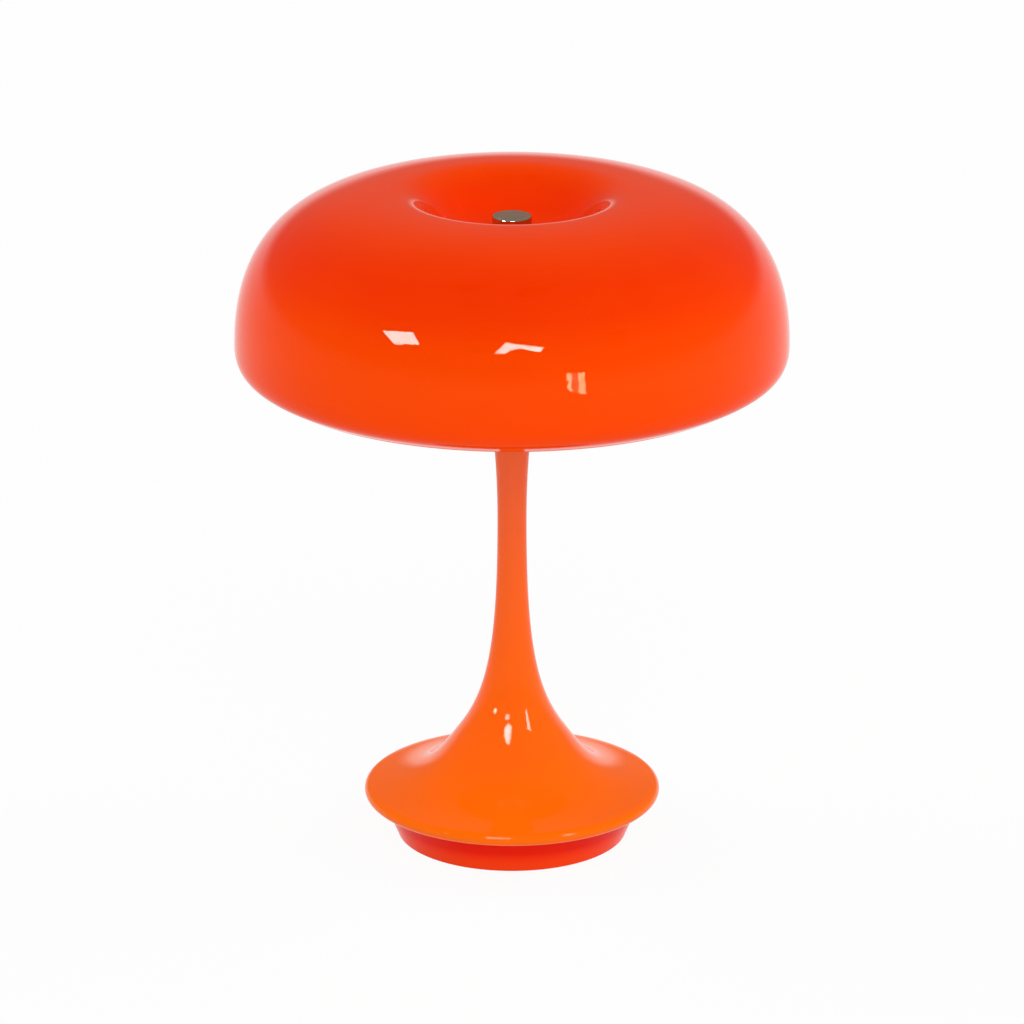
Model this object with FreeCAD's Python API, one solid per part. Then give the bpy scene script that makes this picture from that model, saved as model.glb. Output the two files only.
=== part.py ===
import FreeCAD, Part
import math
import os

# Cordless mushroom table lamp: a turned trumpet stand on a battery drum carries a light head,
# and a dished acrylic shade is held on top of it by a turned metal knob.
# All sizes are millimetres. +Z is up, the lamp's axis is Z, and Z = 0 is the surface it stands on.
# The charging socket faces +Y, the back of the lamp.

Vector = FreeCAD.Vector

# ---------------------------------------------------------------- driving dimensions

# Foot ring and base drum
foot_proud = 0.6              # how far the foot ring stands below the drum
foot_ring_thickness = 1.6
foot_ring_width = 12.5
foot_ring_inset = 3.4         # from the drum's foot to the ring's recess
foot_ring_clearance = 0.15    # round the ring in its recess
drum_foot_radius = 46.9       # outside, just above the rounded bottom edge
drum_top_radius = 53.0        # outside, where the drum meets the flange
drum_height = 15.3
drum_edge_round = 1.2
drum_wall = 2.4
drum_floor = 2.4

# Trumpet stand: flange, shoulder, neck and upper flare
flange_radius = 59.8
flange_thickness = 5.1
flange_edge_bulge = 2.05      # how far the rounded edge stands out
flange_slope = 0.12           # rise of the flange's top towards the middle
flange_pull = 23.0            # how far the flange's curve pulls in towards the middle
shoulder_radius = 21.4
shoulder_rise = 23.6          # above the flange's top edge
shoulder_slope = 1.38
shoulder_pull_down = 9.5
shoulder_pull_up = 11.35
neck_radius = 5.87
neck_rise = 89.0              # above the shoulder
neck_pull_down = 53.4
neck_pull_up = 24.4
stem_top_radius = 12.5
stem_top_rise = 62.4          # above the neck
stem_top_lean = 4.5           # how far the top of the flare leans out
stem_top_pull = 16.0
stand_wall = 2.4
spigot_thickness = 2.0        # the ring under the flange that centres the drum
spigot_depth = 3.0
spigot_clearance = 0.2
nut_pocket_radius = 9.2
nut_pocket_rise = 17.4        # the ledge that the lower nut pulls on, above the shoulder
nut_pocket_pull = 7.0

# Screws that hold the drum to the stand
base_screw_count = 4
base_screw_inset = 3.5        # from the outside of the ring's recess to the screws' circle
base_screw_first_angle = 45.0
base_screw_radius = 1.45
base_screw_length = 10.4
base_screw_head_radius = 2.8
base_screw_head_height = 1.7
screw_clearance = 0.05        # a screw in the hole that it cuts its thread in
screw_pass_clearance = 0.25   # a screw in a plain hole
head_clearance = 0.3
column_radius = 3.6
pad_radius = 5.0
pad_height = 2.0

# Ballast, battery and charging board
ballast_wall_gap = 3.0        # between the plate and the drum's wall
ballast_thickness = 2.0
ballast_board_gap = 1.5       # the plate ends this far in front of the board
ballast_gap = 0.4
cell_radius = 9.15
cell_length = 65.0
cell_pitch = 19.0
cell_clearance = 0.15
tray_floor = 0.6
tray_height = 8.0
tray_end_gap = 0.7
tray_wall = 1.8
tab_thickness = 0.3
tab_width = 26.0
tab_height = 4.0
tab_lift = 0.2
board_thickness = 1.6
board_width = 30.0
board_depth = 20.0
board_wall_gap = 0.75         # between the board's corners and the drum's wall
board_tongue_width = 12.0
board_height = 7.0            # underside of the board
post_radius = 2.4
post_spacing = 22.0
post_front_inset = 3.5
post_back_inset = 3.5
board_screw_radius = 1.2
board_screw_length = 4.5
board_screw_head_radius = 2.1
board_screw_head_height = 1.3
component_inset = 11.6        # from the board's front edge
component_spread = 6.0        # each side of the middle
coil_side = 6.0
coil_height = 2.8
chip_side = 4.0
chip_height = 1.0

# Charging socket and indicator
socket_width = 8.94
socket_height = 3.26
socket_depth = 7.35
socket_wall = 0.3
socket_setback = 1.15         # of the socket's mouth inside the drum's outer face
socket_hollow = 6.0
tongue_width = 6.7
tongue_thickness = 0.7
tongue_length = 5.0
slot_clearance = 0.25
lens_radius = 1.2
lens_offset = 9.5
lens_root = 4.0               # how far the lens reaches in over the board
lens_length = 8.0
lens_clearance = 0.05

# Tie tube and its nuts
tube_radius = 4.0
tube_bore = 3.0
tube_clearance = 0.3
thread_clearance = 0.05
tube_tail = 10.0              # below the lower nut's ledge
tube_head = 1.0               # above the upper nut
tube_nut_flats = 12.0
tube_nut_thickness = 4.0
tube_washer_radius = 8.2
tube_washer_thickness = 1.2

# Light head
sink_hub_height = 2.0
sink_rise = 6.0
sink_rim_height = 2.0
sink_radius = 31.0
led_board_edge_gap = 1.4      # between the board and the diffuser
led_board_thickness = 1.6
led_board_gap = 0.3           # between the board and the riser
led_count = 12
led_inset = 5.0               # from the board's edge
led_length = 3.5
led_width = 2.8
led_height = 0.8
led_screw_count = 3
led_screw_inset = 11.0
led_screw_first_angle = 30.0
led_screw_radius = 1.2
led_screw_length = 3.4
led_screw_head_radius = 2.2
led_screw_head_height = 1.4
diffuser_inset = 1.0          # from the edge of the sink
diffuser_wall = 1.6
diffuser_round = 12.0
diffuser_headroom = 11.7      # below the underside of the shade's seat
diffuser_neck_gap = 0.3

# Riser, stud and shade seat
riser_radius = 9.0
riser_wall = 1.5
riser_floor = 2.0
riser_length = 37.2
cap_thickness = 3.0
cap_spigot = 5.0
cap_clearance = 0.1
stud_radius = 3.0
stud_into_knob = 6.0
stud_tail = 1.0
stud_nut_flats = 10.0
stud_nut_thickness = 4.0
terminal_radius = 7.0
terminal_thickness = 0.8
gasket_thickness = 1.5
gasket_gap = 0.4
bush_radius = 4.8
bush_below_floor = 0.3        # the bush ends this far below the dimple's floor

# Leads
power_lead_radius = 0.9
touch_lead_radius = 0.6
lead_offset = 1.3
lead_foot_inset = 3.5         # from the board's front edge
lead_climb = 10.0             # straight up from the board
lead_gather = 12.0            # below the tube, where the leads come to the axis
lead_bend = 6.0
power_lead_reach = 14.0
power_lead_crest = 4.0        # above the end of the tube
touch_lead_reach = 6.2
touch_lead_ramp = 10.0
lead_hole_clearance = 0.4

# Shade
shade_radius = 110.0          # at the bulge, its widest
shade_wall = 2.8
dimple_floor_radius = 13.0
dimple_depth = 18.5
dimple_foot_pull = 19.4
dimple_crest_pull = 16.5
crest_radius = 46.5
crest_pull = 35.2
bulge_drop = 61.0             # from the crest down to the bulge
bulge_pull_up = 45.7
bulge_pull_down = 9.9
rim_radius = 100.0
rim_drop = 12.8               # from the bulge down to the rim
rim_pull_out = 3.6
rim_pull_up = 2.6
shade_hole_clearance = 0.2

# Knob
knob_radius = 7.8
knob_height = 8.4
knob_top_round = 0.5
knob_foot_chamfer = 0.6
knob_bore_depth = 7.0
knob_washer_radius = 7.2
knob_washer_thickness = 1.0
knob_washer_clearance = 0.3

# ---------------------------------------------------------------- heights that follow from them

drum_bottom = foot_proud
drum_top = drum_bottom + drum_height
floor_top = drum_bottom + drum_floor
recess_top = foot_ring_thickness
pad_top = floor_top + pad_height
screw_seat = recess_top + head_clearance + base_screw_head_height
flange_top = drum_top + flange_thickness
shoulder_height = flange_top + shoulder_rise
neck_height = shoulder_height + neck_rise
stem_top = neck_height + stem_top_rise
nut_ledge = shoulder_height + nut_pocket_rise

ballast_top = floor_top + ballast_thickness
cell_height = ballast_top + tray_floor + cell_radius
tray_top = ballast_top + tray_height
board_top = board_height + board_thickness
socket_axis = board_top + socket_height / 2

sink_top = stem_top + sink_hub_height + sink_rise + sink_rim_height
led_board_top = sink_top + led_board_thickness
riser_top = sink_top + riser_length
cap_top = riser_top + cap_thickness
cap_bottom = riser_top - cap_spigot
terminal_bottom = cap_bottom - terminal_thickness
stud_nut_bottom = terminal_bottom - stud_nut_thickness
stud_bottom = stud_nut_bottom - stud_tail
seat_height = cap_top + gasket_thickness
dimple_floor = seat_height + shade_wall
crest_height = dimple_floor + dimple_depth
bulge_height = crest_height - bulge_drop
rim_height = bulge_height - rim_drop
upper_nut_bottom = sink_top + riser_floor
tube_top = upper_nut_bottom + tube_nut_thickness + tube_head
tube_bottom = nut_ledge - tube_tail
washer_top = dimple_floor + knob_washer_thickness
knob_top = washer_top + knob_height
stud_top = washer_top + stud_into_knob

drum_slope = (drum_top_radius - drum_foot_radius) / (drum_height - drum_edge_round)
stem_bore = tube_radius + tube_clearance
threaded_tube_hole = tube_radius + thread_clearance
threaded_stud_hole = stud_radius + thread_clearance
spigot_radius = drum_top_radius - drum_wall - spigot_clearance
spigot_tip_radius = spigot_radius - drum_slope * spigot_depth
spigot_inner_radius = spigot_tip_radius - spigot_thickness
riser_bore = riser_radius - riser_wall
shade_hole = bush_radius + shade_hole_clearance

foot_ring_outer_radius = drum_foot_radius - foot_ring_inset
foot_ring_inner_radius = foot_ring_outer_radius - foot_ring_width
base_screw_circle = foot_ring_outer_radius - base_screw_inset
diffuser_radius = sink_radius - diffuser_inset
led_board_radius = diffuser_radius - diffuser_wall - led_board_edge_gap
led_circle = led_board_radius - led_inset
led_screw_circle = led_board_radius - led_screw_inset

ORIGIN = Vector(0, 0, 0)
UP = Vector(0, 0, 1)
BACK = Vector(0, 1, 0)
ALONG = Vector(1, 0, 0)
FULL_TURN = 360.0
HEX_SIDES = 6
LARGE = 400.0                 # longer than the lamp, for cutting tools
CURVE_SPANS = 3               # each span of a drawn curve is two arcs
STRAIGHT = 1e-7               # a bend that turns less than this is drawn straight

# ---------------------------------------------------------------- shapes used all through


def at(radius, height):
    """A point of a turned outline."""
    return Vector(radius, 0, height)


def line(start, end):
    return Part.LineSegment(start, end).toShape()


def arc(start, middle, end):
    return Part.Arc(start, middle, end).toShape()


def arc_middle_point(start, heading, end):
    """The middle of the arc that leaves start along heading and ends at end, or None if it is straight."""
    half = (end - start) * 0.5
    along = Vector(half).normalize()
    across = heading - along * heading.dot(along)
    if across.Length < STRAIGHT:
        return None
    rise = half.Length * math.tan(heading.getAngle(half) / 2)
    return start + half + across.normalize() * rise


def arc_or_line(start, middle, end):
    """An arc, or a line where there is no middle."""
    if middle is None:
        return line(start, end)
    return arc(start, middle, end)


def arc_pair(start, heading, end, leaving):
    """Two arcs that meet in line, from start along heading to end along leaving."""
    span = end - start
    drift = span.dot(heading + leaving)
    spread = 2 * (1 - heading.dot(leaving))
    reach = span.dot(span) / (drift + math.sqrt(drift ** 2 + spread * span.dot(span)))
    joint = (start + heading * reach + end - leaving * reach) * 0.5
    return [arc_or_line(start, arc_middle_point(start, heading, joint), joint),
            arc_or_line(joint, arc_middle_point(end, leaving * -1, joint), end)]


def curve(*poles):
    """The edges of a smooth Bezier curve, drawn as arcs that meet in line."""
    bezier = Part.BezierCurve()
    bezier.setPoles(list(poles))
    edges = []
    for span in range(CURVE_SPANS):
        first, last = span / CURVE_SPANS, (span + 1) / CURVE_SPANS
        edges += arc_pair(bezier.value(first), bezier.tangent(first)[0],
                          bezier.value(last), bezier.tangent(last)[0])
    return edges


def polyline(points):
    """The straight edges that join the points in order."""
    return [line(start, end) for start, end in zip(points, points[1:])]


def turned(edges):
    """The solid that a closed outline makes when it is turned about the lamp's axis."""
    face = Part.Face(Part.Wire(edges))
    return face.revolve(ORIGIN, UP, FULL_TURN)


def rod(radius, low, high, x=0.0, y=0.0):
    """An upright cylinder."""
    return Part.makeCylinder(radius, high - low, Vector(x, y, low), UP)


def ring(inner, outer, low, high):
    """A flat or tall ring about the lamp's axis."""
    return rod(outer, low, high).cut(rod(inner, low, high))


def block(width, depth, height, x, y, low):
    """A box centred on x and y, standing on low."""
    return Part.makeBox(width, depth, height, Vector(x - width / 2, y - depth / 2, low))


def stadium(width, height, depth, centre_height, start):
    """A bar of rounded-end section that runs back from y = start, level with centre_height."""
    end_radius = height / 2
    reach = width / 2 - end_radius
    low, high = centre_height - end_radius, centre_height + end_radius
    left, right = -reach, reach
    edges = [
        line(Vector(left, start, low), Vector(right, start, low)),
        arc(Vector(right, start, low), Vector(right + end_radius, start, centre_height),
            Vector(right, start, high)),
        line(Vector(right, start, high), Vector(left, start, high)),
        arc(Vector(left, start, high), Vector(left - end_radius, start, centre_height),
            Vector(left, start, low)),
    ]
    return Part.Face(Part.Wire(edges)).extrude(BACK * depth)


def hex_nut(flats, hole, low, high):
    """A nut about the lamp's axis, with a flat side facing +X."""
    side_turn = math.radians(FULL_TURN / HEX_SIDES)
    corner = flats / 2 / math.cos(side_turn / 2)
    angles = [side_turn * (side + 0.5) for side in range(HEX_SIDES + 1)]
    corners = [Vector(corner * math.cos(a), corner * math.sin(a), low) for a in angles]
    prism = Part.Face(Part.Wire(polyline(corners))).extrude(UP * (high - low))
    return prism.cut(rod(hole, low, high))


def round_places(count, radius, first_angle):
    """Evenly spaced places on a circle, as (x, y, angle in degrees)."""
    places = []
    for index in range(count):
        angle = first_angle + FULL_TURN * index / count
        turn = math.radians(angle)
        places.append((radius * math.cos(turn), radius * math.sin(turn), angle))
    return places


def bent_wire(points, bend):
    """A path of straight runs through the points, with a tangent arc at each corner."""
    edges = []
    start = points[0]
    for corner, after in zip(points[1:-1], points[2:]):
        inward = (corner - start).normalize()
        onward = (after - corner).normalize()
        turn = inward.getAngle(onward)
        setback = bend * math.tan(turn / 2)
        arc_start = corner - inward * setback
        arc_end = corner + onward * setback
        bisector = (onward - inward).normalize()
        arc_middle = corner + bisector * bend * (1 / math.cos(turn / 2) - 1)
        edges.append(line(start, arc_start))
        edges.append(arc(arc_start, arc_middle, arc_end))
        start = arc_end
    edges.append(line(start, points[-1]))
    return Part.Wire(edges)


def lead(points, radius, bend):
    """A round lead along straight runs and arcs."""
    path = bent_wire(points, bend)
    direction = points[1] - points[0]
    section = Part.Wire(Part.makeCircle(radius, points[0], direction))
    return path.makePipeShell([section], True, False)


def joined(solids):
    """One solid from several that meet."""
    return solids[0].fuse(solids[1:]).removeSplitter()


# ---------------------------------------------------------------- base


def drum_outline_radius(height):
    """Outside radius of the drum's sloping wall at a height."""
    return drum_foot_radius + drum_slope * (height - drum_bottom - drum_edge_round)


def board_edges():
    """Where the charging board's front, back and tongue end, measured from the axis."""
    wall = drum_outline_radius(board_height) - drum_wall - board_wall_gap
    back = math.sqrt(wall ** 2 - (board_width / 2) ** 2)
    return back - board_depth, back, wall


def screw_places():
    return round_places(base_screw_count, base_screw_circle, base_screw_first_angle)


def drum_body():
    """The drum as a plain cup, before its posts and holes."""
    bottom_edge = drum_foot_radius - drum_edge_round
    turn = drum_edge_round * (1 - math.sqrt(0.5))
    wall_foot = drum_outline_radius(floor_top) - drum_wall
    outside = [
        at(0, drum_bottom),
        at(foot_ring_inner_radius, drum_bottom),
        at(foot_ring_inner_radius, recess_top),
        at(foot_ring_outer_radius, recess_top),
        at(foot_ring_outer_radius, drum_bottom),
        at(bottom_edge, drum_bottom),
    ]
    edge = arc(at(bottom_edge, drum_bottom),
               at(drum_foot_radius - turn, drum_bottom + turn),
               at(drum_foot_radius, drum_bottom + drum_edge_round))
    inside = [
        at(drum_foot_radius, drum_bottom + drum_edge_round),
        at(drum_top_radius, drum_top),
        at(drum_top_radius - drum_wall, drum_top),
        at(wall_foot, floor_top),
        at(0, floor_top),
        at(0, drum_bottom),
    ]
    return turned(polyline(outside) + [edge] + polyline(inside))


def drum_envelope():
    """Everything inside the drum's sloping outer face."""
    return turned(polyline([
        at(0, drum_bottom), at(drum_outline_radius(drum_bottom), drum_bottom),
        at(drum_top_radius, drum_top), at(0, drum_top), at(0, drum_bottom),
    ]))


def post_places():
    board_front, board_back, _ = board_edges()
    front = board_front + post_front_inset
    back = board_back - post_back_inset
    half = post_spacing / 2
    return [(-half, front), (half, front), (-half, back), (half, back)]


def board_screw_places():
    return post_places()[:2]


def base_drum():
    pads = [rod(pad_radius, floor_top, pad_top, x, y) for x, y, _ in screw_places()]
    posts = [rod(post_radius, floor_top, board_height, x, y) for x, y in post_places()]
    drum = drum_body().fuse(pads + posts).removeSplitter()
    cuts = []
    _, board_back, _ = board_edges()
    for x, y, _ in screw_places():
        cuts.append(rod(base_screw_head_radius + screw_pass_clearance, recess_top, screw_seat, x, y))
        cuts.append(rod(base_screw_radius + screw_pass_clearance, screw_seat, pad_top, x, y))
    for x, y in board_screw_places():
        low = board_top - board_screw_length - screw_pass_clearance
        cuts.append(rod(board_screw_radius + screw_clearance, low, board_height, x, y))
    cuts.append(stadium(socket_width + 2 * slot_clearance, socket_height + 2 * slot_clearance,
                        drum_top_radius, socket_axis, board_back))
    cuts.append(Part.makeCylinder(lens_radius + lens_clearance, drum_top_radius,
                                  Vector(lens_offset, board_back, socket_axis), BACK))
    return drum.cut(cuts)


def foot_ring():
    inner = foot_ring_inner_radius + foot_ring_clearance
    outer = foot_ring_outer_radius - foot_ring_clearance
    return ring(inner, outer, 0, foot_ring_thickness)


def base_screws():
    screws = []
    for x, y, _ in screw_places():
        head = rod(base_screw_head_radius, screw_seat - base_screw_head_height, screw_seat, x, y)
        shank = rod(base_screw_radius, screw_seat, screw_seat + base_screw_length, x, y)
        screws.append(joined([head, shank]))
    return Part.makeCompound(screws)


def ballast_plate():
    ballast_radius = drum_outline_radius(floor_top) - drum_wall - ballast_wall_gap
    ballast_flat = board_edges()[0] - ballast_board_gap
    plate = rod(ballast_radius, floor_top, ballast_top)
    cuts = [block(LARGE, LARGE, LARGE, 0, ballast_flat + LARGE / 2, floor_top - LARGE / 2)]
    for x, y, _ in screw_places():
        cuts.append(rod(pad_radius + ballast_gap, floor_top, ballast_top, x, y))
    return plate.cut(cuts)


def cell(side, radius, length):
    """A lying cylinder in the place of one battery cell."""
    centre = Vector(-length / 2, side * cell_pitch / 2, cell_height)
    return Part.makeCylinder(radius, length, centre, ALONG)


def battery_cells():
    return Part.makeCompound([cell(side, cell_radius, cell_length) for side in (-1, 1)])


def battery_tray():
    hollow_length = cell_length + 2 * tray_end_gap
    trough_radius = cell_radius + cell_clearance
    width = cell_pitch + 2 * trough_radius + 2 * tray_wall
    tray = block(hollow_length + 2 * tray_wall, width, tray_height, 0, 0, ballast_top)
    return tray.cut([cell(side, trough_radius, hollow_length) for side in (-1, 1)])


def cell_tabs():
    low = max(tray_top, cell_height - tab_height / 2) + tab_lift
    offset = cell_length / 2 + tab_thickness / 2
    return Part.makeCompound([
        block(tab_thickness, tab_width, tab_height, side * offset, 0, low) for side in (-1, 1)
    ])


def charge_board():
    front, back, tongue_back = board_edges()
    main = block(board_width, board_depth, board_thickness, 0, (front + back) / 2, board_height)
    tongue = block(board_tongue_width, tongue_back - front, board_thickness,
                   0, (tongue_back + front) / 2, board_height)
    holes = [rod(board_screw_radius + screw_pass_clearance, board_height, board_top, x, y)
             for x, y in board_screw_places()]
    return joined([main, tongue]).cut(holes)


def board_components():
    place = board_edges()[0] + component_inset
    coil = block(coil_side, coil_side, coil_height, -component_spread, place, board_top)
    chip = block(chip_side, chip_side, chip_height, component_spread, place, board_top)
    return Part.makeCompound([coil, chip])


def board_screws():
    screws = []
    for x, y in board_screw_places():
        head = rod(board_screw_head_radius, board_top, board_top + board_screw_head_height, x, y)
        shank = rod(board_screw_radius, board_top - board_screw_length, board_top, x, y)
        screws.append(joined([head, shank]))
    return Part.makeCompound(screws)


def charge_socket():
    socket_mouth = drum_outline_radius(socket_axis) - socket_setback
    start = socket_mouth - socket_depth
    shell = stadium(socket_width, socket_height, socket_depth, socket_axis, start)
    hollow = stadium(socket_width - 2 * socket_wall, socket_height - 2 * socket_wall,
                     socket_hollow, socket_axis, socket_mouth - socket_hollow)
    root = socket_mouth - socket_hollow - socket_wall
    tongue = Part.makeBox(tongue_width, tongue_length, tongue_thickness,
                          Vector(-tongue_width / 2, root, socket_axis - tongue_thickness / 2))
    return joined([shell.cut(hollow), tongue])


def indicator_lens():
    start = Vector(lens_offset, board_edges()[2] - lens_root, socket_axis)
    return Part.makeCylinder(lens_radius, lens_length, start, BACK).common(drum_envelope())


# ---------------------------------------------------------------- trumpet stand


def stand_outline():
    """The stand's visible outline, from the top of the stem down to the flange's lower edge."""
    shoulder = at(shoulder_radius, shoulder_height)
    neck = at(neck_radius, neck_height)
    top = at(stem_top_radius, stem_top)
    edge_start = at(flange_radius - flange_edge_bulge, flange_top)
    edge_end = at(flange_radius - flange_edge_bulge, drum_top)
    upper_flare = curve(
        top,
        at(stem_top_radius - stem_top_lean, stem_top - stem_top_pull),
        at(neck_radius, neck_height + neck_pull_up),
        neck,
    )
    trumpet = curve(
        neck,
        at(neck_radius, neck_height - neck_pull_down),
        at(shoulder_radius - shoulder_pull_up, shoulder_height + shoulder_pull_up * shoulder_slope),
        shoulder,
    )
    skirt = curve(
        shoulder,
        at(shoulder_radius + shoulder_pull_down,
           shoulder_height - shoulder_pull_down * shoulder_slope),
        at(flange_radius - flange_edge_bulge - flange_pull,
           flange_top + flange_pull * flange_slope),
        edge_start,
    )
    edge = arc(edge_start, at(flange_radius, (flange_top + drum_top) / 2), edge_end)
    return upper_flare + trumpet + skirt + [edge], top, edge_end


def stand_envelope():
    """The stand as if it were solid."""
    outline, top, foot = stand_outline()
    return turned(outline + polyline([foot, at(0, drum_top), at(0, stem_top), top]))


def stand_shell():
    outline, top, foot = stand_outline()
    steepness = math.hypot(shoulder_slope, 1.0)
    shoulder = at(shoulder_radius - stand_wall * shoulder_slope / steepness,
                  shoulder_height - stand_wall / steepness)
    edge_radius = flange_radius - flange_edge_bulge
    ceiling = flange_top - stand_wall + (edge_radius - spigot_inner_radius) * flange_slope
    inner_share = (spigot_inner_radius - shoulder_radius) / (edge_radius - shoulder_radius)
    inner_pull = flange_pull * inner_share
    skirt_end = at(spigot_inner_radius, ceiling)
    pocket_corner = at(nut_pocket_radius, nut_ledge)
    drum_side = polyline([
        foot, at(spigot_radius, drum_top), at(spigot_tip_radius, drum_top - spigot_depth),
        at(spigot_inner_radius, drum_top - spigot_depth), skirt_end,
    ])
    inner_skirt = curve(
        skirt_end,
        at(spigot_inner_radius - inner_pull, ceiling + inner_pull * flange_slope),
        at(shoulder.x + shoulder_pull_down, shoulder.z - shoulder_pull_down * shoulder_slope),
        shoulder,
    )
    pocket = curve(
        shoulder,
        at((shoulder.x + nut_pocket_radius) / 2,
           shoulder.z + (shoulder.x - nut_pocket_radius) / 2 * shoulder_slope),
        at(nut_pocket_radius, nut_ledge - nut_pocket_pull),
        pocket_corner,
    )
    bore = polyline([pocket_corner, at(stem_bore, nut_ledge), at(stem_bore, stem_top), top])
    return turned(outline + drum_side + inner_skirt + pocket + bore)


def trumpet_stand():
    columns = [rod(column_radius, pad_top, shoulder_height, x, y) for x, y, _ in screw_places()]
    below = rod(flange_radius, 0, drum_top)
    room = stand_envelope().fuse(below)
    stand = stand_shell().fuse([column.common(room) for column in columns])
    pilot_top = screw_seat + base_screw_length + screw_pass_clearance
    pilots = [rod(base_screw_radius + screw_clearance, pad_top, pilot_top, x, y)
              for x, y, _ in screw_places()]
    return stand.cut(pilots)


# ---------------------------------------------------------------- tie tube and leads


def tie_tube():
    return ring(tube_bore, tube_radius, tube_bottom, tube_top)


def lower_washer():
    return ring(threaded_tube_hole, tube_washer_radius,
                nut_ledge - tube_washer_thickness, nut_ledge)


def lower_nut():
    top = nut_ledge - tube_washer_thickness
    return hex_nut(tube_nut_flats, threaded_tube_hole, top - tube_nut_thickness, top)


def upper_nut():
    return hex_nut(tube_nut_flats, threaded_tube_hole,
                   upper_nut_bottom, upper_nut_bottom + tube_nut_thickness)


def lead_start(side):
    """The first points of a lead: up from the charging board and in to the axis."""
    x = side * lead_offset
    lead_foot = board_edges()[0] + lead_foot_inset
    return [
        Vector(x, lead_foot, board_top),
        Vector(x, lead_foot, board_top + lead_climb),
        Vector(x, 0, tube_bottom - lead_gather),
    ]


def power_lead():
    crest = tube_top + power_lead_crest
    points = lead_start(-1) + [
        Vector(-lead_offset, 0, crest),
        Vector(-power_lead_reach, 0, crest),
        Vector(-power_lead_reach, 0, led_board_top),
    ]
    return lead(points, power_lead_radius, lead_bend)


def touch_lead():
    ramp_bottom = tube_top + power_lead_crest
    points = lead_start(1) + [
        Vector(lead_offset, 0, ramp_bottom),
        Vector(touch_lead_reach, 0, ramp_bottom + touch_lead_ramp),
        Vector(touch_lead_reach, 0, terminal_bottom),
    ]
    return lead(points, touch_lead_radius, lead_bend)


# ---------------------------------------------------------------- light head


def led_screw_places():
    return round_places(led_screw_count, led_screw_circle, led_screw_first_angle)


def head_sink():
    dish = turned(polyline([
        at(threaded_tube_hole, stem_top),
        at(stem_top_radius, stem_top),
        at(stem_top_radius, stem_top + sink_hub_height),
        at(sink_radius, stem_top + sink_hub_height + sink_rise),
        at(sink_radius, sink_top),
        at(threaded_tube_hole, sink_top),
        at(threaded_tube_hole, stem_top),
    ]))
    low = led_board_top - led_screw_length - screw_pass_clearance
    return dish.cut([rod(led_screw_radius + screw_clearance, low, sink_top, x, y)
                     for x, y, _ in led_screw_places()])


def led_board():
    board = ring(riser_radius + led_board_gap, led_board_radius, sink_top, led_board_top)
    return board.cut([rod(led_screw_radius + screw_pass_clearance, sink_top, led_board_top, x, y)
                      for x, y, _ in led_screw_places()])


def led_chips():
    chips = []
    for x, y, angle in round_places(led_count, led_circle, 0.0):
        chip = block(led_width, led_length, led_height, 0, 0, led_board_top)
        chip.rotate(ORIGIN, UP, angle)
        chip.translate(Vector(x, y, 0))
        chips.append(chip)
    return Part.makeCompound(chips)


def led_board_screws():
    screws = []
    for x, y, _ in led_screw_places():
        head = rod(led_screw_head_radius, led_board_top,
                   led_board_top + led_screw_head_height, x, y)
        shank = rod(led_screw_radius, led_board_top - led_screw_length, led_board_top, x, y)
        screws.append(joined([head, shank]))
    return Part.makeCompound(screws)


def rounded_cup(radius, corner, top, hole, low):
    """Half outline of an upturned cup with a round shoulder and a hole in its top."""
    bend = corner * (1 - math.sqrt(0.5))
    side_end = at(radius, top - corner)
    top_start = at(radius - corner, top)
    shoulder = arc(side_end, at(radius - bend, top - bend), top_start)
    return [line(at(radius, low), side_end), shoulder, line(top_start, at(hole, top))]


def diffuser():
    top = seat_height - diffuser_headroom
    hole = riser_radius + diffuser_neck_gap
    inner_radius = diffuser_radius - diffuser_wall
    outside = rounded_cup(diffuser_radius, diffuser_round, top, hole, sink_top)
    inside = rounded_cup(inner_radius, diffuser_round - diffuser_wall,
                         top - diffuser_wall, hole, sink_top)
    closing = [line(at(hole, top), at(hole, top - diffuser_wall)),
               line(at(inner_radius, sink_top), at(diffuser_radius, sink_top))]
    return turned(Part.__sortEdges__(outside + inside + closing))


# ---------------------------------------------------------------- riser and shade seat


def riser():
    tube = turned(polyline([
        at(threaded_tube_hole, sink_top), at(riser_radius, sink_top),
        at(riser_radius, riser_top), at(riser_bore, riser_top),
        at(riser_bore, upper_nut_bottom), at(threaded_tube_hole, upper_nut_bottom),
        at(threaded_tube_hole, sink_top),
    ]))
    side_hole = Part.makeCylinder(power_lead_radius + lead_hole_clearance, riser_radius,
                                  Vector(-riser_radius, 0, tube_top + power_lead_crest), ALONG)
    return tube.cut(side_hole.cut(rod(tube_radius, sink_top, riser_top)))


def riser_cap():
    spigot_outer = riser_bore - cap_clearance
    return turned(polyline([
        at(threaded_stud_hole, cap_bottom), at(spigot_outer, cap_bottom),
        at(spigot_outer, riser_top), at(riser_radius, riser_top),
        at(riser_radius, cap_top), at(threaded_stud_hole, cap_top),
        at(threaded_stud_hole, cap_bottom),
    ]))


def shade_stud():
    return rod(stud_radius, stud_bottom, stud_top)


def stud_nut():
    return hex_nut(stud_nut_flats, threaded_stud_hole, stud_nut_bottom, terminal_bottom)


def touch_terminal():
    return ring(threaded_stud_hole, terminal_radius, terminal_bottom, cap_bottom)


def stud_bush():
    return ring(threaded_stud_hole, bush_radius, cap_top, dimple_floor - bush_below_floor)


def shade_gasket():
    return ring(bush_radius + gasket_gap, riser_radius, cap_top, seat_height)


# ---------------------------------------------------------------- shade and knob


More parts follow.
